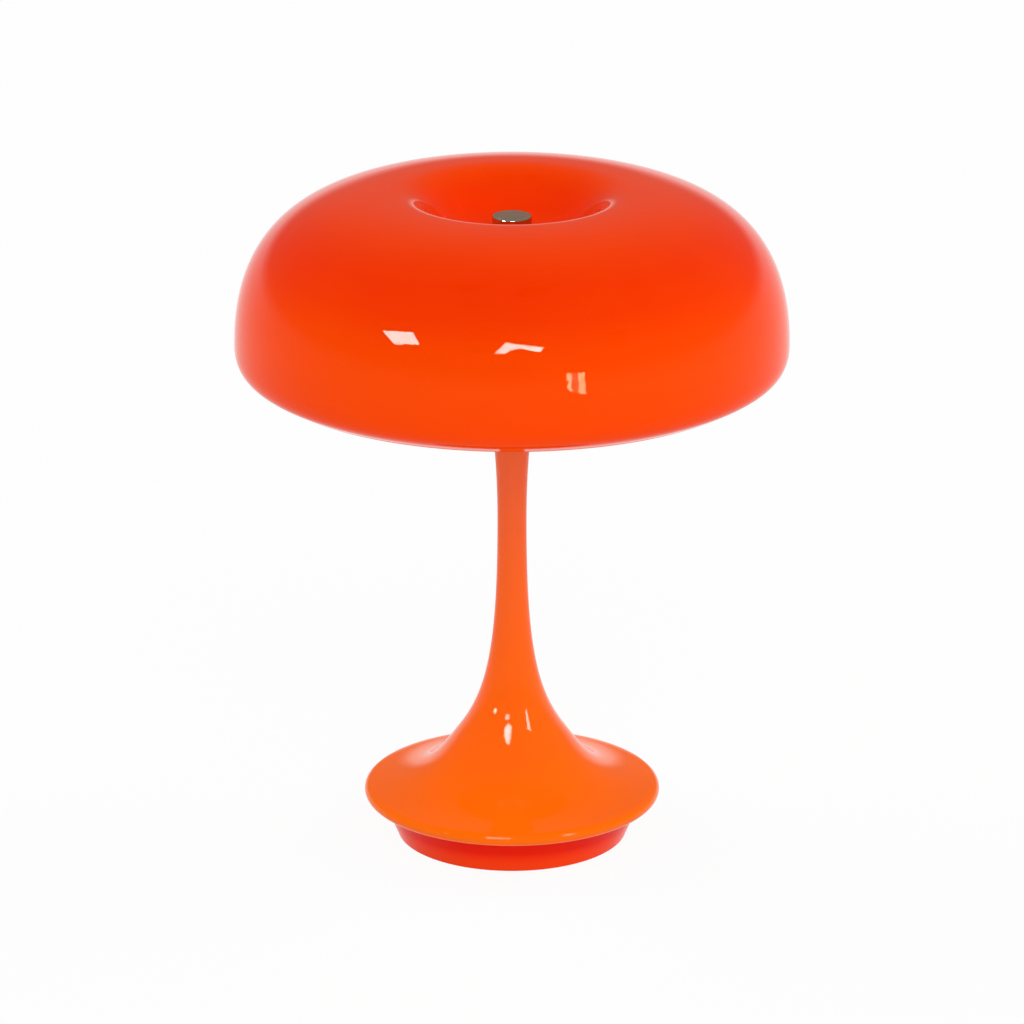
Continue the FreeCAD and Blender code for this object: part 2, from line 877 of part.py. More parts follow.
def shade():
    """The dished and curled-in shade: its outer face, rounded rim and inner face in one outline."""
    inner_crest = crest_height - shade_wall
    inner_radius = shade_radius - shade_wall
    rim = at(rim_radius, rim_height)
    rim_inward = (rim - at(rim_radius + rim_pull_out, rim_height + rim_pull_up)).normalize()
    rim_across = Vector(rim_inward.z, 0, -rim_inward.x)
    inner_rim = rim + rim_across * shade_wall
    rim_tip = (rim + inner_rim) * 0.5 + rim_inward * (shade_wall / 2)
    inner_run = (inner_radius - crest_radius) / (shade_radius - crest_radius)
    inner_fall = (inner_crest - bulge_height) / bulge_drop
    flank_shift = shade_wall / 2
    floor = [line(at(shade_hole, dimple_floor), at(dimple_floor_radius, dimple_floor))]
    outer_dimple = curve(at(dimple_floor_radius, dimple_floor),
                         at(dimple_floor_radius + dimple_foot_pull, dimple_floor),
                         at(crest_radius - dimple_crest_pull, crest_height),
                         at(crest_radius, crest_height))
    outer_dome = curve(at(crest_radius, crest_height),
                       at(crest_radius + crest_pull, crest_height),
                       at(shade_radius, bulge_height + bulge_pull_up),
                       at(shade_radius, bulge_height))
    outer_curl = curve(at(shade_radius, bulge_height),
                       at(shade_radius, bulge_height - bulge_pull_down),
                       at(rim_radius + rim_pull_out, rim_height + rim_pull_up),
                       rim)
    rim_edge = [arc(rim, rim_tip, inner_rim)]
    inner_curl = curve(inner_rim,
                       at(rim_radius + rim_pull_out, rim_height + rim_pull_up)
                       + rim_across * shade_wall,
                       at(inner_radius, bulge_height - bulge_pull_down + shade_wall),
                       at(inner_radius, bulge_height))
    inner_dome = curve(at(inner_radius, bulge_height),
                       at(inner_radius, bulge_height + bulge_pull_up * inner_fall),
                       at(crest_radius + crest_pull * inner_run, inner_crest),
                       at(crest_radius, inner_crest))
    inner_dimple = curve(at(crest_radius, inner_crest),
                         at(crest_radius - dimple_crest_pull + flank_shift, inner_crest),
                         at(dimple_floor_radius + dimple_foot_pull + flank_shift, seat_height),
                         at(dimple_floor_radius, seat_height))
    seat = polyline([at(dimple_floor_radius, seat_height), at(shade_hole, seat_height),
                     at(shade_hole, dimple_floor)])
    return turned(floor + outer_dimple + outer_dome + outer_curl + rim_edge
                  + inner_curl + inner_dome + inner_dimple + seat)


def knob_washer():
    return ring(stud_radius + knob_washer_clearance, knob_washer_radius, dimple_floor, washer_top)


def finial_knob():
    """A plain turned knob with a chamfered foot, a softened top edge and a blind threaded bore."""
    bend = knob_top_round * (1 - math.sqrt(0.5))
    side_top = at(knob_radius, knob_top - knob_top_round)
    face_edge = at(knob_radius - knob_top_round, knob_top)
    lower = polyline([
        at(0, washer_top + knob_bore_depth), at(threaded_stud_hole, washer_top + knob_bore_depth),
        at(threaded_stud_hole, washer_top), at(knob_radius - knob_foot_chamfer, washer_top),
        at(knob_radius, washer_top + knob_foot_chamfer), side_top,
    ])
    edge = arc(side_top, at(knob_radius - bend, knob_top - bend), face_edge)
    top = polyline([face_edge, at(0, knob_top), at(0, washer_top + knob_bore_depth)])
    return turned(lower + [edge] + top)


# ---------------------------------------------------------------- writing the pieces

PIECES = [
    trumpet_stand, base_drum, foot_ring, base_screws, ballast_plate,
    battery_tray, battery_cells, cell_tabs, charge_board, board_components, board_screws,
    charge_socket, indicator_lens, tie_tube, lower_washer, lower_nut, upper_nut,
    power_lead, touch_lead, head_sink, led_board, led_chips, led_board_screws, diffuser,
    riser, riser_cap, shade_stud, stud_nut, touch_terminal, stud_bush, shade_gasket,
    shade, knob_washer, finial_knob,
]

os.makedirs("parts", exist_ok=True)
for piece in PIECES:
    shape = piece()
    shape.exportStep("parts/" + piece.__name__ + ".step")
    print(piece.__name__, "valid" if shape.isValid() else "NOT VALID",
          len(shape.Solids), "solids", round(shape.Volume, 1), "mm3")
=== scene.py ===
"""Looks of the mushroom table lamp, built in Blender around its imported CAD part.

Sizes in the classes are in millimetres, as in the part's source, and each finished mesh is in
metres.
"""
import sys
import logging
import math
from dataclasses import dataclass, field
from enum import Enum

import bmesh
import bpy
from mathutils import Matrix, Vector
from mathutils.geometry import interpolate_bezier


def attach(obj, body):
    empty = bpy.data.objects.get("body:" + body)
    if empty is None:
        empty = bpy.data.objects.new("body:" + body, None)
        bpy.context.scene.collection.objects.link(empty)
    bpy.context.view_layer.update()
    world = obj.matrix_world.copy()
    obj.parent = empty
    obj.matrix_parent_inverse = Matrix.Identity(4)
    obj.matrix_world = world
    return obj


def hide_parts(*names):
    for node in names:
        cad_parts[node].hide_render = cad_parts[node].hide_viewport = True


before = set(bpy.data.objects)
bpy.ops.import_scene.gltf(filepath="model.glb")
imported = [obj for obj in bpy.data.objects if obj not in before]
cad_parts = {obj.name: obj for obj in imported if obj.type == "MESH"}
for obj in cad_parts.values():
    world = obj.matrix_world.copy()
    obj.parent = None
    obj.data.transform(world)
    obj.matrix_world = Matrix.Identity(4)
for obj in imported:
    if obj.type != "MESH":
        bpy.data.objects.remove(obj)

LOG = logging.getLogger("lamp")
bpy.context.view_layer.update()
MM = 0.001
FULL_TURN = 2 * math.pi
WELD = 1e-3                 # mm, points nearer than this are one
CLEAR_OF = 1.0              # mm that a cutting tool reaches past what it cuts
HOLE_SIDES, HEAD_SIDES = 24, 32
WAVES = 3.0                 # bands that a wave texture of scale 1 draws in a metre, about
GRAIN_SPAN = (0.3, 0.7)     # soft grain seldom leaves this span
Mesh = bmesh.types.BMesh
Node = bpy.types.ShaderNode
Socket = bpy.types.NodeSocket
Tree = bpy.types.ShaderNodeTree


class Body(Enum):
    """The CAD bodies that pieces ride on."""

    STAND = "stand"
    SHADE = "shade"
    WASHER = "washer"
    KNOB = "knob"


class Slot(Enum):
    """The record's material slots."""

    SHADE = "shade_acrylic"
    STAND = "stand_lacquer"
    DRUM = "drum_lacquer"
    KNOB = "brushed_knob"
    SILICONE = "silicone"
    SCREW = "screw_steel"
    ZINC = "zinced_steel"
    SOCKET = "socket_steel"
    NICKEL = "nickel"
    BRASS = "brass"
    BLACK = "black_plastic"
    WHITE = "white_plastic"
    CELL = "cell_wrap"
    BOARD = "circuit_board"
    LED_BOARD = "white_board"
    LED = "led_phosphor"
    OPAL = "opal_acrylic"
    CLEAR = "clear_acrylic"
    LEAD = "lead_jacket"
    POWDER = "white_aluminium"


class Cut(Enum):
    """How a tool solid changes the piece that it is used on."""

    TAKE_AWAY = "DIFFERENCE"
    ADD = "UNION"


# ---------------------------------------------------------------- colour and nodes


def srgb(code: str) -> tuple[float, float, float, float]:
    """Turns a screen colour into the linear colour that Blender works in.

    Args:
        code: the colour as six hex digits after a hash.

    Returns:
        Red, green, blue and alpha, linear.
    """
    parts = [int(code[place:place + 2], 16) / 255 for place in (1, 3, 5)]
    linear = [c / 12.92 if c <= 0.04045 else ((c + 0.055) / 1.055) ** 2.4 for c in parts]
    return (*linear, 1.0)


def add_node(tree: Tree, kind: str, settings: dict | None = None,
             links: dict | None = None) -> Node:
    """Adds one node.

    Args:
        tree: the node tree that it goes in.
        kind: the node's type.
        settings: values by the name or number of an input, or by the name of a property.
        links: sockets by the name or number of the input that each feeds.

    Returns:
        The new node.
    """
    node = tree.nodes.new(kind)
    for key, value in (settings or {}).items():
        if isinstance(key, int) or key in node.inputs:
            node.inputs[key].default_value = value
        else:
            setattr(node, key, value)
    for key, source in (links or {}).items():
        tree.links.new(source, node.inputs[key])
    return node


def grain(tree: Tree, where: Socket, size: float, detail: float = 2.0,
          stretch: tuple[float, float, float] = (1.0, 1.0, 1.0)) -> Socket:
    """Soft random grain.

    Args:
        tree: the material's node tree.
        where: the coordinates, in metres.
        size: width of one grain in millimetres.
        detail: how many finer layers lie on it.
        stretch: how much finer it is along each axis.

    Returns:
        The grain's strength, about 0.5 on average.
    """
    scaled = add_node(tree, "ShaderNodeMapping", {"Scale": stretch}, {"Vector": where})
    noise = add_node(tree, "ShaderNodeTexNoise", {"Scale": 1 / (size * MM), "Detail": detail},
                     {"Vector": scaled.outputs["Vector"]})
    return noise.outputs["Fac"]


def around_axis(tree: Tree, where: Socket) -> Socket:
    """Coordinates that are the same all the way round the lamp's axis.

    Args:
        tree: the material's node tree.
        where: the object coordinates.

    Returns:
        A vector of distance from the axis, height and zero.
    """
    apart = add_node(tree, "ShaderNodeSeparateXYZ", links={"Vector": where})
    flat = add_node(tree, "ShaderNodeCombineXYZ",
                    links={"X": apart.outputs["X"], "Y": apart.outputs["Y"]})
    reach = add_node(tree, "ShaderNodeVectorMath", {"operation": "LENGTH"},
                     {0: flat.outputs["Vector"]})
    turned = add_node(tree, "ShaderNodeCombineXYZ",
                      links={"X": reach.outputs["Value"], "Y": apart.outputs["Z"]})
    return turned.outputs["Vector"]


# ---------------------------------------------------------------- finishes


@dataclass(frozen=True)
class Finish:
    """What a surface is made of and how it was made."""

    name: str
    slot: Slot
    colour: str
    second: str
    roughness: float
    metallic: float = 0.0
    ior: float = 1.5
    level: float = 0.5          # specular level, 0.5 where the IOR alone gives it
    tint: str = "#FFFFFF"

    def material(self) -> bpy.types.Material:
        """Makes the finish's material, the first time that a piece asks for it.

        Returns:
            The material.
        """
        found = bpy.data.materials.get(self.name)
        if found:
            return found
        material = bpy.data.materials.new(self.name)
        material.use_nodes = True
        tree = material.node_tree
        tree.nodes.clear()
        shader = add_node(tree, "ShaderNodeBsdfPrincipled", {
            "Base Color": srgb(self.colour), "Roughness": self.roughness,
            "Metallic": self.metallic, "IOR": self.ior, "Specular IOR Level": self.level,
            "Specular Tint": srgb(self.tint)})
        where = add_node(tree, "ShaderNodeTexCoord").outputs["Object"]
        self.pattern(tree, shader, where)
        add_node(tree, "ShaderNodeOutputMaterial", links={"Surface": shader.outputs["BSDF"]})
        return material

    def pattern(self, tree: Tree, shader: Node, where: Socket) -> None:
        """Draws the finish's marks; each kind of finish has its own.

        Args:
            tree: the material's node tree.
            shader: the surface's shader.
            where: the object coordinates, in metres.
        """
        raise NotImplementedError

    def mark(self, tree: Tree, shader: Node, marks: Socket, depth: float,
             span: tuple[float, float] = GRAIN_SPAN) -> None:
        """Turns marks into a blend of the finish's two colours, and raises them.

        Args:
            tree: the material's node tree.
            shader: the surface's shader.
            marks: the pattern, from 0 to 1.
            depth: how deep the marks are, in millimetres.
            span: the marks' values at which the first colour ends and the second is full.
        """
        share = add_node(tree, "ShaderNodeMapRange", {"From Min": span[0], "From Max": span[1]},
                         {"Value": marks}).outputs["Result"]
        colour = add_node(tree, "ShaderNodeMix", {
            "data_type": "RGBA", 6: srgb(self.colour), 7: srgb(self.second)}, {0: share})
        raised = add_node(tree, "ShaderNodeBump", {"Strength": 1.0, "Distance": depth * MM},
                          {"Height": marks})
        tree.links.new(colour.outputs[2], shader.inputs["Base Color"])
        tree.links.new(raised.outputs["Normal"], shader.inputs["Normal"])


@dataclass(frozen=True)
class GlossColour(Finish):
    """A dense colour under a wet gloss, in faint clouds, with bands by height that paint light and
    shade.

    A drawn sheet has long waves, sprayed lacquer a fine orange peel and a moulding soft sinks.
    """

    wave_size: float = 70.0
    wave_depth: float = 0.05
    cloud_size: float = 40.0
    cloud_share: float = 0.12
    # Heights and colours of the bands; they set the colour and also paint light and shade.
    colour_and_light_bands: tuple[tuple[float, str], ...] = ()

    def pattern(self, tree: Tree, shader: Node, where: Socket) -> None:
        """Draws the bands of colour by height, which paint light and shade, the clouds and the
        waves.

        Args:
            tree, shader, where: as in Finish.pattern.
        """
        # The ramp by height paints light and shade into the base colour.
        height = add_node(tree, "ShaderNodeSeparateXYZ", links={"Vector": where}).outputs["Z"]
        low, high = self.colour_and_light_bands[0][0], self.colour_and_light_bands[-1][0]
        level = add_node(tree, "ShaderNodeMapRange", {"From Min": low * MM, "From Max": high * MM},
                         {"Value": height})
        ramp = add_node(tree, "ShaderNodeValToRGB", links={"Fac": level.outputs["Result"]})
        stops = ramp.color_ramp.elements
        for place, (band, colour) in enumerate(self.colour_and_light_bands):
            stop = stops[place] if place < 2 else stops.new(1.0)
            stop.position = (band - low) / (high - low)
            stop.color = srgb(colour)
        cloud = add_node(tree, "ShaderNodeMapRange", {
            "From Min": GRAIN_SPAN[0], "From Max": GRAIN_SPAN[1], "To Max": self.cloud_share},
            {"Value": grain(tree, where, self.cloud_size)})
        clouded = add_node(tree, "ShaderNodeMix", {"data_type": "RGBA", 7: srgb(self.second)},
                           {0: cloud.outputs["Result"], 6: ramp.outputs["Color"]})
        waves = add_node(tree, "ShaderNodeBump", {
            "Strength": 1.0, "Distance": self.wave_depth * MM},
            {"Height": grain(tree, where, self.wave_size, 1.0)})
        tree.links.new(clouded.outputs[2], shader.inputs["Base Color"])
        tree.links.new(waves.outputs["Normal"], shader.inputs["Normal"])


@dataclass(frozen=True)
class TurnedMetal(Finish):
    """Metal faced on a lathe: fine rings that blur its gloss around the axis."""

    ring: float = 0.12
    depth: float = 0.002
    side_roughness: float = 0.12
    side_to_face: tuple[float, float] = (0.5, 0.9)      # how far up the surface faces

    def pattern(self, tree: Tree, shader: Node, where: Socket) -> None:
        """Draws the lathe's rings, and leaves the side polished.

        Args:
            tree, shader, where: as in Finish.pattern.
        """
        self.mark(tree, shader, grain(tree, around_axis(tree, where), self.ring, 3.0), self.depth)
        facing = add_node(tree, "ShaderNodeNewGeometry").outputs["Normal"]
        up = add_node(tree, "ShaderNodeSeparateXYZ", links={"Vector": facing}).outputs["Z"]
        side, face = self.side_to_face
        rough = add_node(tree, "ShaderNodeMapRange", {
            "From Min": side, "From Max": face, "To Min": self.side_roughness,
            "To Max": self.roughness}, {"Value": up})
        tree.links.new(rough.outputs["Result"], shader.inputs["Roughness"])


@dataclass(frozen=True)
class Grained(Finish):
    """A surface whose mould, bath or powder leaves an even fine grain."""

    size: float = 0.6
    depth: float = 0.01
    spread: float = 0.08        # how far the roughness strays
    stretch: tuple[float, float, float] = (1.0, 1.0, 1.0)

    def pattern(self, tree: Tree, shader: Node, where: Socket) -> None:
        """Draws the grain in colour, gloss and relief.

        Args:
            tree, shader, where: as in Finish.pattern.
        """
        marks = grain(tree, where, self.size, 3.0, self.stretch)
        self.mark(tree, shader, marks, self.depth)
        rough = add_node(tree, "ShaderNodeMapRange", {
            "From Min": GRAIN_SPAN[0], "From Max": GRAIN_SPAN[1],
            "To Min": self.roughness - self.spread, "To Max": self.roughness + self.spread},
            {"Value": marks})
        tree.links.new(rough.outputs["Result"], shader.inputs["Roughness"])


@dataclass(frozen=True)
class OpalAcrylic(Grained):
    """White acrylic that scatters the light of the chips behind it."""

    milk: float = 0.5
    milk_depth: float = 4.0
    milk_reach: tuple[float, float, float] = (1.0, 0.9, 0.8)    # red, green, blue

    def pattern(self, tree: Tree, shader: Node, where: Socket) -> None:
        """Adds a milky depth under the grain.

        Args:
            tree, shader, where: as in Finish.pattern.
        """
        super().pattern(tree, shader, where)
        shader.inputs["Subsurface Weight"].default_value = self.milk
        shader.inputs["Subsurface Radius"].default_value = self.milk_reach
        shader.inputs["Subsurface Scale"].default_value = self.milk_depth * MM


@dataclass(frozen=True)
class ClearAcrylic(Grained):
    """Clear acrylic rod."""

    clearness: float = 0.9

    def pattern(self, tree: Tree, shader: Node, where: Socket) -> None:
        """Lets light through under the grain.

        Args:
            tree, shader, where: as in Finish.pattern.
        """
        super().pattern(tree, shader, where)
        shader.inputs["Transmission Weight"].default_value = self.clearness


@dataclass(frozen=True)
class SolderMask(Finish):
    """A coated circuit board with its copper tracks showing through the mask."""

    track: float = 2.6          # mm from one track to the next
    depth: float = 0.03
    track_edge: tuple[float, float] = (0.80, 0.86)      # the wave's values at a track's edge

    def pattern(self, tree: Tree, shader: Node, where: Socket) -> None:
        """Draws tracks along both sides of the board.

        Args:
            tree, shader, where: as in Finish.pattern.
        """
        tracks = []
        for direction in ("X", "Y"):
            wave = add_node(tree, "ShaderNodeTexWave", {
                "bands_direction": direction, "Scale": 1 / (self.track * MM * WAVES),
                "Distortion": 1.5, "Detail": 0.0, "Detail Scale": 0.4}, {"Vector": where})
            tracks.append(add_node(tree, "ShaderNodeMapRange", {
                "From Min": self.track_edge[0], "From Max": self.track_edge[1]},
                {"Value": wave.outputs["Fac"]}).outputs["Result"])
        both = add_node(tree, "ShaderNodeMath", {"operation": "MAXIMUM"},
                        {0: tracks[0], 1: tracks[1]}).outputs["Value"]
        self.mark(tree, shader, both, self.depth, (0.0, 1.0))


# Acrylic sheet, drawn and polished: a wet gloss over a dense orange-red. Its bands by height paint
# light and shade: more orange low down, where the floor lights it, and redder towards the top.
# Its colour shows through its reflections, so its specular level is under acrylic's own.
SHADE_ACRYLIC = GlossColour(
    "orange_red_acrylic_drawn_and_polished", Slot.SHADE, "#F43A00", "#FF4C00", 0.012, ior=1.49,
    level=0.10, tint="#FFCCAA",
    colour_and_light_bands=((195.0, "#FF4400"), (221.0, "#FF4900"), (236.0, "#FB4300"), (247.0, "#F53700"),
           (256.0, "#F13300"), (262.0, "#EF3600"), (269.0, "#F03E00")))
# Two-pack lacquer on cast zinc: a clear gloss with a hint of orange peel. Its bands by height
# paint
# light: yellower low on the flange for a painted sheen, and paler and pinker up the stem, a
# painted reflection that also lifts the stem out of the shade's shadow.
STAND_LACQUER = GlossColour(
    "orange_lacquer_sprayed_on_zinc_casting", Slot.STAND, "#FA6012", "#FF6A10", 0.02,
    level=0.16, tint="#FFCCAA", wave_size=2.2, wave_depth=0.001, cloud_size=30.0,
    colour_and_light_bands=((20.0, "#FF6E04"), (40.0, "#FF680E"), (75.0, "#FF6612"), (110.0, "#FF6926"),
           (150.0, "#FF6C3D"), (196.0, "#FF743F")))
# ABS from a polished mould, redder than the lacquer above it. Its bands by height paint shade:
# deepest red close under the flange, where the flange shades it, and lighter towards the foot.
DRUM_ABS = GlossColour(
    "orange_red_abs_from_polished_mould", Slot.DRUM, "#EE3C10", "#F2440E", 0.10,
    level=0.08, tint="#FFCCAA", wave_size=9.0, wave_depth=0.006, cloud_size=24.0,
    colour_and_light_bands=((1.0, "#FF4814"), (4.0, "#FF440E"), (6.5, "#FE3408"), (9.0, "#F11C01"),
           (16.0, "#F11000")))
# Nickel-plated brass, faced on a lathe: satin grey-brown on top, mirror-like round the side.
KNOB_METAL = TurnedMetal(
    "nickel_plated_brass_turned", Slot.KNOB, "#C6C4A6", "#B5B394", 0.34, 1.0)
# Moulded silicone: matt, slightly chalky, with dust in its grain.
SILICONE = Grained("warm_grey_silicone_moulded", Slot.SILICONE, "#CFC8BE", "#BDB5AA", 0.72,
                   ior=1.41, size=0.5, depth=0.02)
# Stainless steel screws: bright, with fine marks from turning.
SCREW_STEEL = Grained("stainless_steel_machined", Slot.SCREW, "#B4B4B6", "#9FA0A4", 0.28, 1.0,
                      size=0.25, depth=0.004, stretch=(1.0, 1.0, 4.0))
# Zinc plate on pressed steel: a cool sheen with cloudy spangle.
ZINC_PLATE = Grained("zinc_plate_on_pressed_steel", Slot.ZINC, "#B9BDBC", "#9EA5A8", 0.36, 1.0,
                     size=3.0, depth=0.004, spread=0.1)
# Drawn stainless steel: the charging socket's shell.
SOCKET_STEEL = Grained("stainless_steel_deep_drawn", Slot.SOCKET, "#C4C4C2", "#A9AAAA", 0.24,
                       1.0, size=0.3, depth=0.003, stretch=(1.0, 0.2, 1.0))
# Rolled nickel strip: warm grey with rolling lines.
NICKEL_STRIP = Grained("nickel_strip_rolled", Slot.NICKEL, "#C3BBA9", "#ABA392", 0.30, 1.0,
                       size=0.3, depth=0.003, stretch=(1.0, 0.1, 1.0))
# Turned brass: yellow, dulled in patches by handling.
BRASS = Grained("brass_machined", Slot.BRASS, "#C9AA5E", "#A98B45", 0.30, 1.0,
                size=1.4, depth=0.003)
# Glass-filled nylon from a spark-eroded mould: a fine matt grain.
BLACK_NYLON = Grained("black_nylon_moulded", Slot.BLACK, "#1C1C1D", "#262627", 0.58,
                      size=0.35, depth=0.02)
WHITE_NYLON = Grained("white_nylon_moulded", Slot.WHITE, "#E9E7E0", "#DDDAD1", 0.46,
                      size=0.4, depth=0.012)
# Heat-shrunk sleeve: satin film that puckers in long soft wrinkles.
SHRINK_SLEEVE = Grained("blue_film_shrunk_on_cell", Slot.CELL, "#2F62A6", "#27558F", 0.34,
                        size=5.0, depth=0.05, stretch=(0.25, 1.0, 1.0))
# Green solder mask over copper: the tracks stand out a little lighter.
GREEN_MASK = SolderMask("green_solder_mask_over_copper", Slot.BOARD, "#12562D", "#2C7A44", 0.30)
# White mask on an aluminium board: nearly plain, with faint tracks.
WHITE_MASK = SolderMask("white_solder_mask_on_aluminium", Slot.LED_BOARD, "#EDECE6", "#DFDDD3",
                        0.38, track=5.0)
# Phosphor in clear silicone: a yellow jelly with a fine speckle.
PHOSPHOR = Grained("yellow_phosphor_cast", Slot.LED, "#F2D65A", "#E3C23F", 0.42,
                   size=0.25, depth=0.01)
# Opal acrylic: milk-white and satin, soft at the edges.
OPAL = OpalAcrylic("opal_acrylic_moulded", Slot.OPAL, "#F4F2EC", "#ECE9E0", 0.30, ior=1.49,
                   size=14.0, depth=0.02, spread=0.04)
# Clear acrylic rod end for the charge light.
CLEAR = ClearAcrylic("clear_acrylic_rod_polished", Slot.CLEAR, "#F6F8F8", "#EEF2F2", 0.08,
                     ior=1.49, size=3.0, depth=0.003, spread=0.02)
# Silicone lead jacket: satin white with a faint ripple along it.
LEAD_JACKET = Grained("white_silicone_extruded", Slot.LEAD, "#DEDDD8", "#CFCDC6", 0.52,
                      size=1.2, depth=0.01, stretch=(1.0, 1.0, 0.3))
# Powder coat baked on spun aluminium: satin white with a fine pebble.
POWDER_COAT = Grained("white_powder_coat_on_spun_aluminium", Slot.POWDER, "#ECEBE6", "#E2E0DA",
                      0.44, size=0.7, depth=0.02)


# ---------------------------------------------------------------- mesh work


class Outline:
    """Half of a turned piece's section, as points joined in order, in millimetres."""

    def __init__(self, radius: float, height: float) -> None:
        """Starts at one point."""
        self.points = [Vector((radius, 0.0, height))]

    def line_to(self, *ends: tuple[float, float]) -> "Outline":
        """Adds straight runs and returns the outline."""
        self.points += [Vector((radius, 0.0, height)) for radius, height in ends]
        return self

    def curve_to(self, leave: tuple[float, float], arrive: tuple[float, float],
                 end: tuple[float, float], steps: int) -> "Outline":
        """Adds a smooth curve.

        Args:
            leave: the point that the curve sets out towards.
            arrive: the point that it comes in from.
            end: where it ends.
            steps: how many short runs it is drawn with.

        Returns:
            The outline.
        """
        poles = [Vector((radius, 0.0, height)) for radius, height in (leave, arrive, end)]
        self.points += interpolate_bezier(self.points[-1], *poles, steps + 1)[1:]
        return self

    def arc_to(self, middle: tuple[float, float], end: tuple[float, float],
               steps: int) -> "Outline":
        """Adds an arc of a circle about a middle point.

        Args:
            middle: the circle's centre.
            end: where the arc ends.
            steps: how many short runs it is drawn with.

        Returns:
            The outline.
        """
        centre, last = Vector((middle[0], 0.0, middle[1])), Vector((end[0], 0.0, end[1]))
        spoke = self.points[-1] - centre
        turn = spoke.rotation_difference(last - centre)
        for step in range(1, steps):
            part = Matrix.Rotation(turn.angle * step / steps, 3, turn.axis)
            self.points.append(centre + part @ spoke)
        self.points.append(last)
        return self


def spun(outline: Outline, steps: int, closed: bool = False, rise: float = 0.0) -> Mesh:
    """Turns an outline about the lamp's axis.

    Args:
        outline: the half section.
        steps: how many flats the round has.
        closed: whether the outline's end joins its start.
        rise: how far the end of the turn lies above its start, for a thread.

    Returns:
        The turned mesh, in millimetres, with its faces pointing outwards.
    """
    mesh = bmesh.new()
    verts = [mesh.verts.new(point) for point in outline.points]
    pairs = list(zip(verts, verts[1:])) + ([(verts[-1], verts[0])] if closed else [])
    edges = [mesh.edges.new(pair) for pair in pairs]
    bmesh.ops.spin(mesh, geom=verts + edges, cent=(0, 0, 0), axis=(0, 0, 1),
                   dvec=(0, 0, rise / steps), angle=FULL_TURN, steps=steps,
                   use_merge=rise == 0.0, use_duplicate=False)
    bmesh.ops.remove_doubles(mesh, verts=mesh.verts, dist=WELD)
    bmesh.ops.recalc_face_normals(mesh, faces=mesh.faces)
    return mesh


def rod(radius: float, low: float, high: float, x: float = 0.0, y: float = 0.0,
        sides: int = 48) -> Mesh:
    """An upright cylinder.

    Args:
        radius: its radius.
        low: height of its foot.
        high: height of its top.
        x: place of its axis.
        y: place of its axis.
        sides: how many flats the round has.

    Returns:
        The cylinder, in millimetres.
    """
    mesh = bmesh.new()
    bmesh.ops.create_cone(mesh, cap_ends=True, segments=sides, radius1=radius, radius2=radius,
                          depth=high - low, matrix=Matrix.Translation((x, y, (low + high) / 2)))
    return mesh


def bar(size: tuple[float, float, float], centre: tuple[float, float, float]) -> Mesh:
    """A box.

    Args:
        size: its width, depth and height.
        centre: its middle.

    Returns:
        The box, in millimetres.
    """
    mesh = bmesh.new()
    bmesh.ops.create_cube(mesh, size=1.0,
                          matrix=Matrix.Translation(centre) @ Matrix.Diagonal((*size, 1.0)))
    return mesh


def slot_bar(width: float, height: float, depth: float, centre: tuple[float, float, float],
             sides: int = 16) -> Mesh:
    """A bar along Y whose section is a slot with round ends.

    Args:
        width: the section's width.
        height: the section's height.
        depth: the bar's length.
        centre: its middle.
        sides: flats at each round end.

    Returns:
        The bar, in millimetres.
    """
    mesh = bar((width, depth, height), centre)
    ends = [edge for edge in mesh.edges
            if abs((edge.verts[0].co - edge.verts[1].co).y) > depth / 2]
    bmesh.ops.bevel(mesh, geom=ends, offset=height / 2 - WELD, offset_type="OFFSET",
                    segments=sides, profile=0.5, affect="EDGES", material=-1)
    return mesh


def eased(mesh: Mesh, width: float, segments: int = 2,
          sharper: float = 35.0) -> Mesh:
    """Rounds every edge that turns more than an angle.

    Args:
        mesh: what is rounded.
        width: how far the rounding reaches from the edge, in millimetres.
        segments: how many runs each rounding has.
        sharper: the least angle that is rounded, in degrees.

    Returns:
        The same mesh.
    """
    edges = [edge for edge in mesh.edges
             if len(edge.link_faces) == 2 and edge.calc_face_angle() > math.radians(sharper)]
    bmesh.ops.bevel(mesh, geom=edges, offset=width, offset_type="OFFSET", segments=segments,
                    profile=0.5, affect="EDGES", clamp_overlap=True, material=-1)
    return mesh


def collar(radii: tuple[float, float], heights: tuple[float, float], flats: int,
           rounding: float) -> Mesh:
    """A plain ring about the lamp's axis, with every edge rounded.

    Args:
        radii: inside and outside.
        heights: foot and top.
        flats: how many flats the round has.
        rounding: how far the rounding reaches from each edge.

    Returns:
        The ring, in millimetres.
    """
    (inner, outer), (low, high) = radii, heights
    section = Outline(inner, low).line_to((outer, low), (outer, high), (inner, high))
    return eased(spun(section, flats, closed=True), rounding, 3)


def level_rod(radius: float, reach: float, tipped: str,
              start: tuple[float, float, float]) -> Mesh:
    """A rod that lies level, as the tool for a hole in a wall.

    Args:
        radius: its radius.
        reach: its length.
        tipped: the axis that it is tipped about from upright, X or Y.
        start: the middle of the end that it starts from.

    Returns:
        The rod, in millimetres.
    """
    mesh = rod(radius, 0.0, reach, sides=HOLE_SIDES)
    bmesh.ops.rotate(mesh, verts=mesh.verts, cent=(0, 0, 0),
                     matrix=Matrix.Rotation(-math.pi / 2, 3, tipped))
    bmesh.ops.translate(mesh, verts=mesh.verts, vec=start)
    return mesh


def square_on(circle: float) -> list[tuple[float, float]]:
    """Returns the four corners of a square on a circle about the axis, given its radius."""
    reach = circle * math.sqrt(0.5)
    return [(x * reach, y * reach) for x in (-1, 1) for y in (-1, 1)]


def together(*meshes: Mesh) -> Mesh:
    """Puts several meshes in one.

    Args:
        meshes: the meshes, of which all but the first are used up.

    Returns:
        The first mesh with the others in it.
    """
    for other in meshes[1:]:
        spare = bpy.data.meshes.new("spare")
        other.to_mesh(spare)
        other.free()
        meshes[0].from_mesh(spare)
        bpy.data.meshes.remove(spare)
    return meshes[0]


